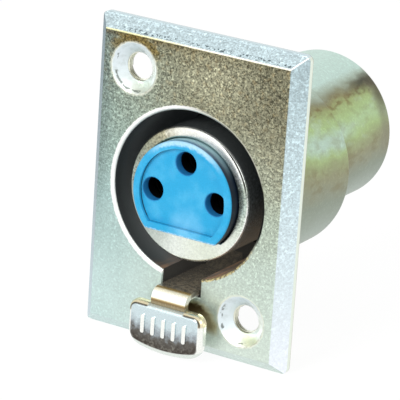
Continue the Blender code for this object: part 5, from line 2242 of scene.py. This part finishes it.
    def pin(self, finish: Material) -> None:
        """Model the pivot pin with chamfered ends.

        Args:
            finish: The material to dress it with.
        """
        outline = circle(self.pivot, self.pin_radius, SMALL_STEPS)
        pin = plate("pivot_pin", outline, Facing.X, -self.pin_half_length, self.pin_half_length)
        round_sharp(pin, self.pin_chamfer, 60.0)
        fit(pin, "socket", "spring_steel", finish, "latch_pin")

    def spring(self, finish: Material) -> None:
        """Model the coil under the arm, at one length; the real coil shortens as the lever rocks.

        Args:
            finish: The material to dress it with.
        """
        low = self.spring_low + self.spring_wire
        high = self.spring_high - self.spring_wire
        places = helix(self.spring_radius, low, high, self.spring_turns, self.spring_closing)
        middle = Vector((0.0, self.spring_y, 0.0))
        coil = wire("arm_spring", [middle + Vector(place) for place in places], self.spring_wire)
        fit(coil, "socket", "spring_steel", finish, "latch_spring")
        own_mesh(coil)

    def build(self, steel: Material) -> None:
        """Model the lever, the pin and the spring.

        Args:
            steel: The material of pin and spring.
        """
        self.lever()
        self.pin(steel)
        self.spring(steel)


@dataclass
class Studio:
    """The pale floor, the soft lamps and the camera at the photograph's viewing angle."""

    floor_level: float
    camera_place: Place = (159.32, -262.38, 102.19)
    camera_across: Place = (0.84434274, 0.53202512, 0.06351858)
    camera_down: Place = (0.22031465, -0.23667045, -0.94628144)
    lens: float = 265.86
    sensor: float = 36.0
    clip: Point = (10.0, 10000.0)
    floor_reach: float = 3000.0
    floor_glow: float = 1.03
    floor_share: float = 0.9
    world_light: float = 0.75
    glossy_light: float = 0.95

    def floor(self) -> None:
        """Lay the floor: white to the camera and in reflections, with the object's shadow."""
        start_fresh()
        bpy.ops.mesh.primitive_plane_add(
            size=2 * self.floor_reach * MM, location=(0.0, 0.0, self.floor_level * MM)
        )
        floor = settle("floor")
        shader = Shader("pale_floor")
        shader.set("Base Color", tone(244, 244, 244))
        shader.set("Roughness", 0.9)
        light = shader.node("ShaderNodeEmission", sockets={"Strength": self.floor_glow})
        rays = shader.node("ShaderNodeLightPath").outputs
        camera, glossy = (Value(shader, rays[name]) for name in ("Is Camera Ray", "Is Glossy Ray"))
        share = shader.larger(camera, glossy) * self.floor_share
        both = shader.node(
            "ShaderNodeMixShader",
            sockets={0: share, 1: shader.surface.outputs[0], 2: light.outputs[0]},
        )
        feed(shader.tree, shader.tree.nodes["Material Output"], "Surface", both.outputs[0])
        floor.data.materials.append(shader.material)

    def world(self) -> None:
        """Light the scene evenly, with a little more for reflections than for plain shade."""
        world = bpy.data.worlds.new("studio")
        bpy.context.scene.world = world
        world.use_nodes = True
        tree = world.node_tree
        glossy = add_node(tree, "ShaderNodeLightPath").outputs["Is Glossy Ray"]
        limits = {"Value": glossy, "To Min": self.world_light, "To Max": self.glossy_light}
        strength = add_node(tree, "ShaderNodeMapRange", sockets=limits)
        feed(tree, tree.nodes["Background"], "Strength", strength.outputs[0])
        feed(tree, tree.nodes["Background"], "Color", tone(250, 250, 248))

    def lamp(self, name: str, place: Sequence[float], size: float, power: float) -> None:
        """Hang one square soft lamp that faces the socket.

        Args:
            name: The lamp's name.
            place: Where it hangs, in millimetres.
            size: The length of its side, in millimetres.
            power: Its power, in watts.
        """
        start_fresh()
        bpy.ops.object.light_add(type="AREA", location=Vector(place) * MM)
        lamp = bpy.context.object
        lamp.name = name
        lamp.data.size = size * MM
        lamp.data.energy = power
        lamp.rotation_mode = "QUATERNION"
        lamp.rotation_quaternion = (-Vector(place)).to_track_quat("-Z", "Y")

    def camera(self) -> None:
        """Set the camera up as it stood for the photograph."""
        lens = bpy.data.cameras.new("camera")
        lens.lens = self.lens
        lens.sensor_width = self.sensor
        lens.clip_start, lens.clip_end = (end * MM for end in self.clip)
        camera = bpy.data.objects.new("camera", lens)
        across = Vector(self.camera_across)
        up = -Vector(self.camera_down)
        turn_matrix = Matrix((across, up, across.cross(up))).transposed().to_4x4()
        camera.matrix_world = Matrix.Translation(Vector(self.camera_place) * MM) @ turn_matrix
        bpy.context.scene.collection.objects.link(camera)
        bpy.context.scene.camera = camera

    def build(self) -> None:
        """Set up the camera, the floor, the world and the lamps."""
        self.camera()
        self.floor()
        self.world()
        self.lamp("key", (-40.0, -300.0, 170.0), size=160.0, power=0.8)
        self.lamp("fill", (260.0, -60.0, 120.0), size=200.0, power=0.2)
        bpy.context.scene.view_settings.view_transform = "Standard"


def main() -> None:
    """Build every sub-assembly, sized from the CAD nodes' boxes, and set the studio up."""
    logging.basicConfig(level=logging.INFO, format="%(message)s")
    shell_low, shell_high = node_box("flange_housing")
    sleeve_low, sleeve_high = node_box("nose_sleeve")
    insert_low, _ = node_box("front_insert")
    ring_low, ring_high = node_box("retaining_ring")
    _, terminal_high = node_box("ground_terminal")
    lever_low, lever_high = node_box("latch_lever")
    spring_low, spring_high = node_box("latch_spring")
    blue = BlueMoulding(insert_low.y).material()
    brass = SilveredBrass().material()
    steel = SpringSteel().material()
    Shell(shell_high.x, shell_high.z, shell_high.y).build()
    nose = Nose(sleeve_high.x, sleeve_low.y, insert_low.y)
    nose.build(blue)
    closure = RearClosure((ring_low.y, ring_high.y), terminal_high.y)
    closure.backing(blue, nose.contact_places)
    closure.ring(steel)
    closure.terminal(brass)
    Contacts(nose.contact_places).build(brass)
    Latch(lever_low.y, lever_high.x, spring_low.z, spring_high.z).build(steel)
    Studio(shell_low.z).build()


if __name__ == "__main__":
    main()
